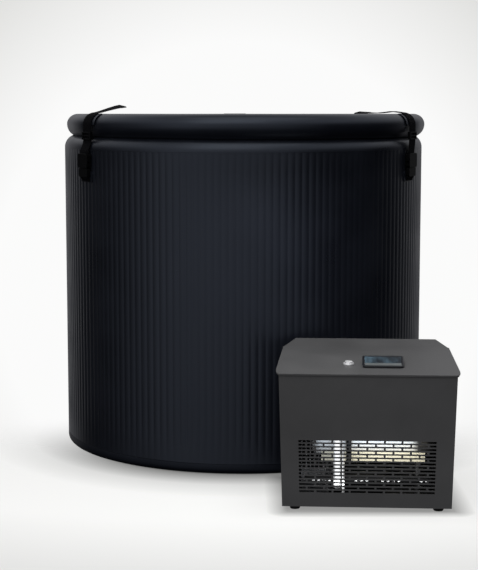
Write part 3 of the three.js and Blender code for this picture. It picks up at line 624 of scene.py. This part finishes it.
def turned(name, profile, turns=240, press=None):
    """A closed mesh from (radius, height) pairs that run round the material or from axis to axis."""
    corners, rings = [], []
    for radius, height in profile:
        count = turns if radius > ON_AXIS else 1
        rings.append(range(len(corners), len(corners) + count))
        for i in range(count):
            angle = 2 * math.pi * i / turns
            place = Vector((radius * math.sin(angle), -radius * math.cos(angle), height))
            corners.append(press(place) if press else place)
    pairs = list(zip(rings, rings[1:]))
    if len(rings[0]) > 1:
        pairs.append((rings[-1], rings[0]))
    faces = []
    for low, high in pairs:
        for i in range(turns):
            j = (i + 1) % turns
            loop = [low[i % len(low)], low[j % len(low)], high[j % len(high)], high[i % len(high)]]
            faces.append(list(dict.fromkeys(loop)))
    mesh = mesh_of(name, corners, faces)
    face_outwards(mesh)
    return mesh


# %% Turn the rim and the base band
WALL = 0.062
RIM_FOOT = 0.725
EDGE_STEPS = 28
BAND_INSIDE = 0.380
BAND_ROUND = 0.012
BAND_STEPS = 8
BAND_SHOULDER = 0.0215
BAND_HEAD = 0.024
BAND_GROOVE = 0.0016

rim_edge = arc((TUB_RADIUS - WALL / 2, RIM_FOOT), WALL / 2, 0, 180, EDGE_STEPS)
rim_profile = [(TUB_RADIUS - WALL, RIM_FOOT), *rim_edge[:-1]]
keep("rim_bead", turned("rim_bead", rim_profile), "vinyl", stands_for=("rim_rail",))

band_foot = arc((TUB_RADIUS - BAND_ROUND, BAND_ROUND), BAND_ROUND, -90, 0, BAND_STEPS)
band_profile = [(BAND_INSIDE, 0.0), *band_foot, (TUB_RADIUS, BAND_SHOULDER)]
band_profile += [(TUB_RADIUS - BAND_GROOVE, BAND_HEAD), (BAND_INSIDE, BAND_HEAD)]
band_mesh = turned("base_band", band_profile)
# The base band takes a darker, duller copy of the vinyl: painted shade at the tub's foot
keep("base_band", band_mesh, "vinyl", stands_for=("base_rail",), material=BASE_PAINTED_SHADE)
print("rim and base band ready")

# %% [markdown]
# The lid is an air pad with a round edge. It lies a little to the right, and its rear strap draws it
# down at the back. The straps press it in where they cross, its lower edge hangs, and it is never
# quite even. Cloth simulation could find such a shape, but a few formulas keep its size exact.

# %% How the lid gives way
STRAP_BEARINGS = {"left": -56.0, "right": 62.0, "rear": 183.0}
LID_FOOT = 0.7563
LID_THICK = 0.054
LID_ROUND = LID_THICK / 2
LID_TOP = LID_FOOT + LID_THICK
LID_OFFSET = 0.006
LID_DRAWN = 0.010
PRESS_DEPTH = 0.0035
PRESS_WIDTH = 4.2
PRESS_START = 0.36
PRESS_SPAN = 0.08
NEAR_AXIS = 0.01
WOBBLE_SCALE = 5.0
WOBBLE_HEIGHT = 0.0006
SAG_DEPTH = 0.0016
SAG_REACH = 0.40
SAG_ABOVE = 0.02
HANG_DEPTH = 0.005
HANG_START = 0.400
HANG_SPAN = 0.020


def within_one(share):
    return min(1.0, max(0.0, share))


def bearing_of(place):
    return math.degrees(math.atan2(place.x, -place.y))


def near_strap(place, width):
    gaps = [(bearing_of(place) - b + 180) % 360 - 180 for b in STRAP_BEARINGS.values()]
    return sum(math.exp(-((gap / width) ** 2)) for gap in gaps)


def drawn_down(place):
    """The lid's top slopes: its rear strap pulls it lower than the two in front do."""
    share = within_one((place.z - LID_FOOT) / LID_THICK)
    drop = share * LID_DRAWN * (TUB_RADIUS + place.y) / (2 * TUB_RADIUS)
    return place - Vector((0, 0, drop))


def soften_lid(place):
    reach = math.hypot(place.x, place.y)
    edge = max(0.0, (reach - PRESS_START) / PRESS_SPAN)
    pressed = 1 - PRESS_DEPTH * edge * near_strap(place, PRESS_WIDTH) / max(reach, NEAR_AXIS)
    rise = noise.noise(place * WOBBLE_SCALE) * WOBBLE_HEIGHT * edge
    if place.z > LID_FOOT + SAG_ABOVE:
        rise -= SAG_DEPTH * max(0.0, 1 - (reach / SAG_REACH) ** 2)
    lower = max(0.0, 1 - (place.z - LID_FOOT) / LID_ROUND)
    rise -= HANG_DEPTH * lower * within_one((reach - HANG_START) / HANG_SPAN)
    soft = Vector((place.x * pressed, place.y * pressed, place.z + rise))
    return drawn_down(soft) + Vector((LID_OFFSET, 0, 0))


# %% Turn the lid
LID_FLAT = 0.41
LID_RINGS = 12

flat_rings = [LID_FLAT * i / LID_RINGS for i in range(LID_RINGS)]
lid_profile = [(radius, LID_FOOT) for radius in flat_rings]
lid_profile += arc((TUB_RADIUS - LID_ROUND, LID_FOOT + LID_ROUND), LID_ROUND, -90, 90, EDGE_STEPS)
lid_profile += [(radius, LID_TOP) for radius in reversed(flat_rings)]
lid_mesh = turned("lid_cushion", lid_profile, press=soften_lid)
print("lid shaped")

# %% [markdown]
# The lid's air valve sits in a stepped recess, and its cap lies level with the lid's top. The recess
# is off the axis, where the rings of the turned mesh don't follow it, so a Boolean cuts it with a
# cutter turned from the recess's own profile.

# %% Places on the wall, and a cut
def station(bearing):
    """The frame of a place on the round wall: x outwards, y along the wall, z up."""
    return Matrix.Rotation(math.radians(bearing - 90), 4, "Z")


def carved(mesh, profile, place):
    """The mesh less a turned cutter whose axis stands at a place."""
    cutter_mesh = turned("cutter", profile, turns=64)
    cutter_mesh.transform(Matrix.Translation(place))
    cutter = bpy.data.objects.new("cutter", cutter_mesh)
    body = bpy.data.objects.new("carved", mesh)
    for piece in (cutter, body):
        scene.collection.objects.link(piece)
    carve = body.modifiers.new("carve", "BOOLEAN")
    carve.operation = "DIFFERENCE"
    carve.object = cutter
    ready = body.evaluated_get(bpy.context.evaluated_depsgraph_get())
    result = bpy.data.meshes.new_from_object(ready)
    for piece in (cutter, body):
        bpy.data.objects.remove(piece)
    return result


# %% Sink the lid's air valve
VALVE_BEARING = 150.0
VALVE_REACH = 0.300
VALVE_SUNK = 0.015
RECESS_RADIUS = 0.031
STEM_RADIUS = 0.018
STEM_DEPTH = 0.024
CUT_ABOVE = 0.01

valve_top = drawn_down(station(VALVE_BEARING) @ Vector((VALVE_REACH, 0, LID_TOP)))
sunk = valve_top.z - VALVE_SUNK
stem_foot = sunk - STEM_DEPTH
above = LID_TOP + CUT_ABOVE
recess = [(0, stem_foot), (STEM_RADIUS, stem_foot), (STEM_RADIUS, sunk)]
recess += [(RECESS_RADIUS, sunk), (RECESS_RADIUS, above), (0, above)]
valve_place = (valve_top.x + LID_OFFSET, valve_top.y, 0)
lid_cushion = keep("lid_cushion", carved(lid_mesh, recess, valve_place), "vinyl", stands_for=("lid_pad",))
print("lid ready")

# %% [markdown]
# ## Straps
# Each strap is a band of webbing along a smooth path: a loose tail, the lid's round edge, then
# down to its buckle. The left tail stands up, the right one lies on the lid with a hump and a
# hemmed end, and the rear strap is sewn down behind the lid's crest. A curve with a bevel would give
# a band as well, but a larger radius at the hem would widen it there too, so the band is a mesh.

# %% Bands
CURVE_STEPS = 6
BAND_STRIPS = 8
PLAIN_HALF = 0.5
HEM_HALF = 0.95
SELVEDGE_SHARE = 0.5
ROLL_LENGTH = 0.055


def curve_through(points):
    """A smooth curve through (out, up) pairs, by a cubic between each two."""
    ends = [points[0], *points, points[-1]]
    curve = []
    for four in zip(ends, ends[1:], ends[2:], ends[3:]):
        for i in range(CURVE_STEPS):
            t = i / CURVE_STEPS
            first = -t + 2 * t**2 - t**3
            second = 2 - 5 * t**2 + 3 * t**3
            third = t + 4 * t**2 - 3 * t**3
            fourth = t**3 - t**2
            weights = (first, second, third, fourth)
            curve.append(tuple(0.5 * sum(w * p[k] for w, p in zip(weights, four)) for k in (0, 1)))
    return [*curve, points[-1]]


def stations_along(path):
    """For each path point: its distance along, the point itself and the unit vector off the face."""
    along, result = 0.0, []
    for i, point in enumerate(path):
        before, after = path[max(i - 1, 0)], path[min(i + 1, len(path) - 1)]
        length = math.dist(before, after)
        along += math.dist(before, point)
        result.append((along, point, ((before[1] - after[1]) / length, (after[0] - before[0]) / length)))
    return result


def band(name, path, width, thick, place, hem=0.0, roll=0.0):
    """A band along a path, thicker over its hem and rolled about its middle line at its free end."""
    section = [(2 * j / BAND_STRIPS - 1, 1) for j in range(BAND_STRIPS + 1)]
    section += [(1 - 2 * j / BAND_STRIPS, -1) for j in range(BAND_STRIPS + 1)]
    corners, uv = [], []
    for along, (out, up), (off_out, off_up) in stations_along(path):
        half = thick * (HEM_HALF if along < hem else PLAIN_HALF)
        tilt = math.sin(math.radians(roll)) * max(0.0, 1 - along / ROLL_LENGTH)
        for across, side in section:
            lift = side * half * (SELVEDGE_SHARE if abs(across) == 1 else 1.0)
            aside = across * width / 2
            spot = Vector((out + lift * off_out, aside, up + lift * off_up + aside * tilt))
            corners.append(drawn_down(place @ spot))
            uv.append((aside, along))
    ring = len(section)
    faces = []
    for i in range(len(path) - 1):
        for j in range(ring):
            k = (j + 1) % ring
            faces.append([i * ring + j, i * ring + k, (i + 1) * ring + k, (i + 1) * ring + j])
    last = (len(path) - 1) * ring
    faces += [list(range(ring))[::-1], list(range(last, last + ring))]
    mesh = mesh_of(name, corners, faces, uv)
    face_outwards(mesh)
    return mesh


# %% [markdown]
# Thread shows as short beads in a row. A Geometry Nodes tree sets them at a pitch along any lines and
# turns each one along its line. The same tree sets the row of screw heads later on.

# %% Beads
def beads_tree():
    inputs = {"Geometry": "Geometry", "Pitch": "Float", "Half Size": "Vector", "Finish": "Material"}
    tree, given = tree_with("Beads on lines", inputs)
    lines = add(tree, "GeometryNodeMeshToCurve", {"Mesh": given["Geometry"]})
    stepping = {"Curve": lines.outputs[0], "Length": given["Pitch"]}
    spots = add(tree, "GeometryNodeResampleCurve", stepping, mode="LENGTH")
    ball = add(tree, "GeometryNodeMeshUVSphere", {"Segments": 8, "Rings": 4, "Radius": 1.0})
    bead = add(tree, "GeometryNodeTransform", {"Geometry": ball.outputs[0], "Scale": given["Half Size"]})
    along = add(tree, "GeometryNodeInputTangent").outputs[0]
    turned_along = add(tree, "FunctionNodeAlignRotationToVector", {"Vector": along}, axis="X").outputs[0]
    placing = {"Points": spots.outputs[0], "Instance": bead.outputs[0], "Rotation": turned_along}
    row = add(tree, "GeometryNodeInstanceOnPoints", placing)
    whole = add(tree, "GeometryNodeRealizeInstances", {"Geometry": row.outputs[0]})
    finish = {"Geometry": whole.outputs[0], "Material": given["Finish"]}
    add(tree, "NodeGroupOutput", {0: add(tree, "GeometryNodeSetMaterial", finish).outputs[0]})
    return tree


BEADS = beads_tree()


def beads(name, lines, pitch, half_size, finish, body):
    """Beads at a pitch along lines, each a pair of points, as one piece."""
    path = mesh_of(name, [end for line in lines for end in line], [])
    path.edges.add(len(lines))
    path.edges.foreach_set("vertices", range(2 * len(lines)))
    values = {"Pitch": pitch, "Half Size": half_size, "Finish": FINISH[finish]}
    return keep(name, grown(name, BEADS, values, path), finish, body=body)


# %% Routes of the straps
STRAP_WIDTH = 0.038
STRAP_THICK = 0.0018
STRAP_STANDOFF = 0.0031
BUCKLE_OUT = TUB_RADIUS + 0.0065
TAB_OUT = TUB_RADIUS + 0.0025
TAB_PATH = [(TAB_OUT, 0.6515), (TAB_OUT, 0.655), (BUCKLE_OUT, 0.6625), (BUCKLE_OUT, 0.672)]
LEAVES_LID = 0.745
MEETS_BUCKLE = 0.722
STRAP_END = 0.708
# Points of the loose tails, inward of the wall and above the lid
TAILS = {
    "left": [(-0.092, 0.0177), (-0.074, 0.0147), (-0.058, 0.0109), (-0.042, 0.0068)],
    "right": [
        (-0.138, 0.0026),
        (-0.112, 0.0019),
        (-0.084, 0.0018),
        (-0.064, 0.0034),
        (-0.048, 0.0052),
        (-0.037, 0.0044),
    ],
    "rear": [],
}
# Where each strap comes onto the lid's round edge, in degrees up from its outermost point
CRESTS = {"left": 90, "right": 90, "rear": 60}
CREST_STEPS = 5


def strap_path(side):
    tail = [(TUB_RADIUS + inward, LID_TOP + up) for inward, up in TAILS[side]]
    edge = (TUB_RADIUS - LID_ROUND, LID_TOP - LID_ROUND)
    over = arc(edge, LID_ROUND + STRAP_STANDOFF, CRESTS[side], 0, CREST_STEPS)
    down = [(TUB_RADIUS + STRAP_STANDOFF, LEAVES_LID), (BUCKLE_OUT, MEETS_BUCKLE), (BUCKLE_OUT, STRAP_END)]
    shift = LID_OFFSET * math.sin(math.radians(STRAP_BEARINGS[side]))
    moved = []
    for out, up in [*tail, *over, *down]:
        moved.append((out + shift * within_one((up - MEETS_BUCKLE) / (LEAVES_LID - MEETS_BUCKLE)), up))
    return curve_through(moved)


# %% Rows of stitches across a band
def stitch_rows(path, stops, half_width, place):
    """Lines across a band at the given distances along it, on its outer face."""
    rows = []
    lift = STRAP_THICK * PLAIN_HALF
    for along, (out, up), (off_out, off_up) in stations_along(path):
        while stops and along >= stops[0]:
            spot = (out + lift * off_out, up + lift * off_up)
            ends = [Vector((spot[0], side * half_width, spot[1])) for side in (-1, 1)]
            rows.append([drawn_down(place @ end) for end in ends])
            stops = stops[1:]
    return rows


# %% Make the straps and their tabs
HEMS = {"left": 0.012, "right": 0.028, "rear": 0.0}
ROLLS = {"left": -7.0, "right": 6.0, "rear": 0.0}
THREAD = (0.0016, 0.0005, 0.0005)
STITCH_PITCH = 0.004
# Distances of the rows along the strap past its tail, and along the tab from its foot
LID_STITCHES = (0.028, 0.042)
TAB_STITCHES = (0.002, 0.006)
LID_STITCH_HALF = 0.014
TAB_STITCH_HALF = 0.015

tab_path = curve_through(TAB_PATH)
lid_rows, wall_rows = [], []
for side, bearing in STRAP_BEARINGS.items():
    place = station(bearing)
    path = strap_path(side)
    strap = band(f"strap_{side}_band", path, STRAP_WIDTH, STRAP_THICK, place, HEMS[side], ROLLS[side])
    keep(strap.name, strap, "webbing", stands_for=(f"strap_{side}",))
    tail = sum(math.dist(a, b) for a, b in zip(TAILS[side], TAILS[side][1:]))
    lid_rows += stitch_rows(path, [tail + stop for stop in LID_STITCHES], LID_STITCH_HALF, place)
    tab = band(f"tab_{side}_band", tab_path, STRAP_WIDTH, STRAP_THICK, place)
    keep(tab.name, tab, "webbing", stands_for=(f"wall_patch_{side}",))
    wall_rows += stitch_rows(tab_path, TAB_STITCHES, TAB_STITCH_HALF, place)
beads("lid_stitches", lid_rows, STITCH_PITCH, THREAD, "webbing", "lid")
beads("wall_stitches", wall_rows, STITCH_PITCH, THREAD, "webbing", "tub")
print(f"{len(lid_rows) + len(wall_rows)} rows of stitches")

# %% [markdown]
# Under each tab a plate of thick coated fabric is welded to the wall. A flat plate could be bent by a
# modifier. Here its points are set straight onto the round wall, so that no gap opens at its ends.

# %% Patches on the wall, under the tabs
PATCH_SIZE = (0.056, 0.026)
PATCH_HEIGHT = 0.663
PATCH_INSIDE = 0.0004
PATCH_OUTSIDE = 0.0018
PATCH_CORNER = 0.007
PATCH_COLUMNS = 12


def wall_patch(name, place):
    """A thin plate that follows the round wall, with rounded corners."""
    wide, tall = PATCH_SIZE[0] / 2, PATCH_SIZE[1] / 2
    corners = []
    for out in (TUB_RADIUS + PATCH_INSIDE, TUB_RADIUS + PATCH_OUTSIDE):
        for top in (1, -1):
            for i in range(PATCH_COLUMNS + 1):
                along = wide * math.sin(math.pi * (i / PATCH_COLUMNS - 0.5))
                inset = max(0.0, PATCH_CORNER - (wide - abs(along)))
                height = tall - PATCH_CORNER + math.sqrt(PATCH_CORNER**2 - inset**2)
                angle = along / TUB_RADIUS
                spot = Vector((out * math.cos(angle), out * math.sin(angle), PATCH_HEIGHT + top * height))
                corners.append(place @ spot)
    row = PATCH_COLUMNS + 1
    faces = []
    for i in range(PATCH_COLUMNS):
        faces.append([2 * row + i, 3 * row + i, 3 * row + i + 1, 2 * row + i + 1])
        faces.append([i, i + 1, row + i + 1, row + i])
        faces.append([i, 2 * row + i, 2 * row + i + 1, i + 1])
        faces.append([row + i, row + i + 1, 3 * row + i + 1, 3 * row + i])
    end = PATCH_COLUMNS
    faces.append([0, row, 3 * row, 2 * row])
    faces.append([end, 2 * row + end, 3 * row + end, row + end])
    return mesh_of(name, corners, faces)


for side, bearing in STRAP_BEARINGS.items():
    plate = wall_patch(f"wall_patch_{side}_plate", station(bearing))
    keep(plate.name, plate, "vinyl", body="tub")
print("wall patches ready")

# %% [markdown]
# ## Moulded and metal pieces
# The measured model has the forms of the fittings, the buckles and the chiller's sheet metal, but
# its edges are knife sharp. A small round on each edge catches the light. A Bevel modifier on the
# loose triangles of the model would find no edges that two faces share, so a copy is merged and its
# flat neighbours are joined before it is rounded. On the way, the casing is narrowed towards its rear
# corners and the buckles are slimmed, as the photograph shows them.

# %% Taper the chiller's casing towards its rear corners
COVER_FRONT = -0.003
COVER_HEIGHT = 0.287
COVER_SLOPE = math.atan2(0.017, 0.248)
COVER_HALF = 0.188
COVER_DEPTH = 0.289
# Above this height a point belongs to the sloped cover, or to the panels' upper edge along it
UNDER_COVER = 0.27
CORNER_CUT = 0.034
CORNER_START = 0.190
CORNER_MOVED = 0.240
CORNER_MARGIN = 0.004
PANELS_FROM = 0.15
SHARE_THERE = 0.962
FRONT_ROUND = 0.0071
FRONT_MARGIN = 0.003
FRONT_STRETCH = 2.6
TAPERED = {"top_cover": 1.010, "left_panel": 1.0, "right_panel": 1.0, "rear_panel": 1.0, "base_pan": 1.0}


def taper(mesh, share_in_front):
    """Narrow the plan from front to back and start the corner cuts further back."""
    homeward = CHILLER.inverted()
    rise = math.tan(COVER_SLOPE)
    round_from = COVER_HALF - FRONT_ROUND - FRONT_MARGIN
    for vertex in mesh.vertices:
        spot = homeward @ vertex.co
        if share_in_front > 1 and spot.y < FRONT_ROUND and abs(spot.x) > round_from:
            back = (spot.y - COVER_FRONT) * FRONT_STRETCH
            spot.y += back
            spot.z += back * rise
        if abs(spot.y - CORNER_START) < CORNER_MARGIN and abs(spot.x) > PANELS_FROM:
            back = CORNER_MOVED - CORNER_START
            spot.y += back
            spot.z += back * rise if spot.z > UNDER_COVER else 0.0
            share = SHARE_THERE
        elif spot.y > CORNER_START:
            was = COVER_HALF - CORNER_CUT * (spot.y - CORNER_START) / (COVER_DEPTH - CORNER_START)
            along = (spot.y - CORNER_MOVED) / (COVER_DEPTH - CORNER_MOVED)
            becomes = COVER_HALF * SHARE_THERE * (1 - along) + (COVER_HALF - CORNER_CUT) * along
            share = becomes / was
        else:
            share = share_in_front + (SHARE_THERE - share_in_front) * spot.y / CORNER_MOVED
        spot.x *= share
        vertex.co = CHILLER @ spot


# %% Slim the buckles
SLIM_PIECES = ("buckle_clip", "buckle_socket", "slider")
SLIM_SHARE = 0.84


def slim(mesh, side):
    """Narrow a buckle about its strap's middle line."""
    place = station(STRAP_BEARINGS[side])
    mesh.transform(place @ Matrix.Diagonal((1, SLIM_SHARE, 1, 1)) @ place.inverted())


# %% Round the edges of a measured piece
MERGE_DISTANCE = 2e-6
FLAT_ANGLE = 0.5


def rounded(node, bevel):
    mesh = nodes[node].data.copy()
    if node in TAPERED:
        taper(mesh, TAPERED[node])
    if node.startswith(SLIM_PIECES):
        slim(mesh, node.rsplit("_", 1)[1])
    work = bmesh.new()
    work.from_mesh(mesh)
    bmesh.ops.remove_doubles(work, verts=work.verts, dist=MERGE_DISTANCE)
    flat = math.radians(FLAT_ANGLE)
    bmesh.ops.dissolve_limit(work, angle_limit=flat, verts=work.verts, edges=work.edges)
    if bevel:
        limit = math.radians(SMOOTH_ANGLE)
        sharp = [e for e in work.edges if len(e.link_faces) == 2 and e.calc_face_angle(0) > limit]
        shape = {"segments": 2, "profile": 0.5, "affect": "EDGES", "clamp_overlap": True}
        bmesh.ops.bevel(work, geom=sharp, offset=bevel, **shape)
    work.to_mesh(mesh)
    work.free()
    piece = keep(f"{node}_finished", mesh, slot_of_node[node], stands_for=(node,))
    even = piece.modifiers.new("even_shading", "WEIGHTED_NORMAL")
    even.keep_sharp = True


# %% Round the fittings and the chiller
PLAIN = {"inner_liner", "floor_panel", "wall_chamber", "front_panel", "condenser", "fan_rotor"}
DRESSED = {"outer_skin", "rim_rail", "base_rail", "lid_pad"}
DRESSED |= {f"{piece}_{side}" for piece in ("strap", "wall_patch") for side in STRAP_BEARINGS}
USUAL_BEVEL = 0.0005
BEVEL = {"top_cover": 0.0009, "display_module": 0.0012, "lid_patch_left": 0.0004, "lid_patch_right": 0.0004}
for node in nodes:
    if node not in DRESSED:
        rounded(node, 0 if node in PLAIN else BEVEL.get(node, USUAL_BEVEL))
print("rounded the rest")

# %% [markdown]
# ## The chiller's window and works
# The display has a dark glass with a painted blue sheen, and in front of it a sill whose lighter grey
# is a painted highlight. Behind the grille stand a white pipe with a thin tube and beside it a dark hose,
# which is a dark piece standing in for shade, a bright barrel with a pale apron, and a row of pale
# screw heads on a dark strip. Most of this is seen only through slots, so plain boxes and tubes in the
# chiller's own frame are enough.

# %% Boxes and tubes on the chiller
def on_cover(x, y):
    height = COVER_HEIGHT + (y - COVER_FRONT) * math.tan(COVER_SLOPE)
    return CHILLER @ Matrix.Translation((x, y, height)) @ Matrix.Rotation(COVER_SLOPE, 4, "X")


def box_mesh(name, corners, place):
    low, high = (Vector(corner) for corner in corners)
    mesh = bpy.data.meshes.new(name)
    work = bmesh.new()
    bmesh.ops.create_cube(work, size=1.0)
    sized = Matrix.Translation((low + high) / 2) @ Matrix.Diagonal((*(high - low), 1))
    bmesh.ops.transform(work, matrix=place @ sized, verts=work.verts)
    work.to_mesh(mesh)
    work.free()
    return mesh


def tube(name, foot, head, radius):
    tall = head - foot[2]
    mesh = turned(name, [(0, 0), (radius, 0), (radius, tall), (0, tall)], turns=20)
    mesh.transform(CHILLER @ Matrix.Translation(foot))
    return mesh


# %% The display's glass, and its sill with a painted highlight
DISPLAY_PLACE = (0.0325, 0.052)
GLASS_SLOPE = math.atan2(0.0067, 0.052)
GLASS_SET = (0, 0.005, 0.0036)
# Boxes are given by their low and high corners
GLASS_BOX = ((-0.0378, 0.0150, 0.0001), (0.0378, 0.0520, 0.0007))
LIP_HIGHLIGHT_BOX = ((-0.0378, 0.0010, 0.0001), (0.0378, 0.0146, 0.0009))

glass_tilt = Matrix.Translation(GLASS_SET) @ Matrix.Rotation(GLASS_SLOPE, 4, "X")
glass_place = on_cover(*DISPLAY_PLACE) @ glass_tilt
glass = box_mesh("display_pane", GLASS_BOX, glass_place)
keep("display_pane", glass, "display", body="chiller", material=GLASS)
# The sill's lighter grey is a painted highlight on the display's lower lip
lip_highlight = box_mesh("display_sill_painted_highlight", LIP_HIGHLIGHT_BOX, glass_place)
keep("display_sill_painted_highlight", lip_highlight, "display", body="chiller", material=LIP_PAINTED_HIGHLIGHT)
print("display ready")

# %% Tubes, strip and apron
TUBE_FOOT = (-0.0486, 0.0085, 0.030)
TUBE_RADIUS = 0.0025
# The dark hose stands in for the shade between the pipe and the barrel: painted shade
SHADE_HOSE_FOOT = (-0.0374, 0.0125, 0.094)
SHADE_HOSE_RADIUS = 0.0055
TUBE_HEAD = 0.200
STRIP_BOX = ((-0.128, 0.0215, 0.054), (0.132, 0.0235, 0.068))
APRON_BOX = ((-0.094, 0.0386, 0.0965), (0.120, 0.0404, 0.1185))

thin_tube = tube("thin_tube", TUBE_FOOT, TUBE_HEAD, TUBE_RADIUS)
keep("thin_tube", thin_tube, "white_pipe", body="chiller")
painted_shade_hose = tube("painted_shade_hose", SHADE_HOSE_FOOT, TUBE_HEAD, SHADE_HOSE_RADIUS)
keep("painted_shade_hose", painted_shade_hose, "moulding", body="chiller")
strip = box_mesh("screw_strip", STRIP_BOX, CHILLER)
keep("screw_strip", strip, "moulding", body="chiller")
apron = box_mesh("barrel_apron", APRON_BOX, CHILLER)
keep("barrel_apron", apron, "barrel_steel", body="chiller", material=APRON)
print("works ready")

# %% Screw heads on the strip
# Each row's first screw, across, and its count
SCREW_ROWS = ((-0.110, 4), (-0.022, 3), (0.033, 4), (0.112, 2))
SCREW_PITCH = 0.011
SCREW_DEPTH = 0.0208
SCREW_HEIGHT = 0.061
SCREW_HALF = (0.0034, 0.0030, 0.0026)
# A row's line is a little longer than the row, so that rounding doesn't cost it a bead
SCREW_SLACK = 0.0001

screw_lines = []
for first, count in SCREW_ROWS:
    ends = (first - SCREW_SLACK, first + (count - 1) * SCREW_PITCH + SCREW_SLACK)
    screw_lines.append([CHILLER @ Vector((x, SCREW_DEPTH, SCREW_HEIGHT)) for x in ends])
beads("screw_heads", screw_lines, SCREW_PITCH, SCREW_HALF, "white_pipe", "chiller")
print(f"{sum(count for first, count in SCREW_ROWS)} screw heads")

# %% [markdown]
# In the photograph the works stand out bright behind the slots. Lamps in front of the panel would
# mostly light the panel. Strip lamps right behind it, facing away from the camera, light the works
# alone.

# %% Light the works
COOL = (0.80, 0.90, 1.0)
WARM = (1.0, 0.95, 0.80)
WHITE = (1, 1, 1)
LAMP_DEPTH = 0.0019
LAMP_AIM = 0.5
# Name, lower left corner, upper right corner, watts and colour
STRIP_LAMPS = (
    ("barrel_lamp_high", (-0.042, 0.136), (0.095, 0.152), 0.028, COOL),
    ("barrel_lamp_low", (-0.042, 0.104), (0.122, 0.120), 0.038, WARM),
    ("barrel_lamp_left", (-0.100, 0.106), (-0.078, 0.150), 0.0055, COOL),
    ("pipe_lamp", (-0.070, 0.048), (-0.050, 0.150), 0.010, WHITE),
    ("screw_lamp", (-0.120, 0.058), (0.130, 0.064), 0.042, WHITE),
)
for name, (left, foot), (right, head), watts, colour in STRIP_LAMPS:
    middle = Vector(((left + right) / 2, LAMP_DEPTH, (foot + head) / 2))
    behind = Vector((middle.x, LAMP_AIM, middle.z))
    softbox(name, CHILLER @ middle, CHILLER @ behind, (right - left, head - foot), watts, colour)
print(f"{len(STRIP_LAMPS)} strip lamps")
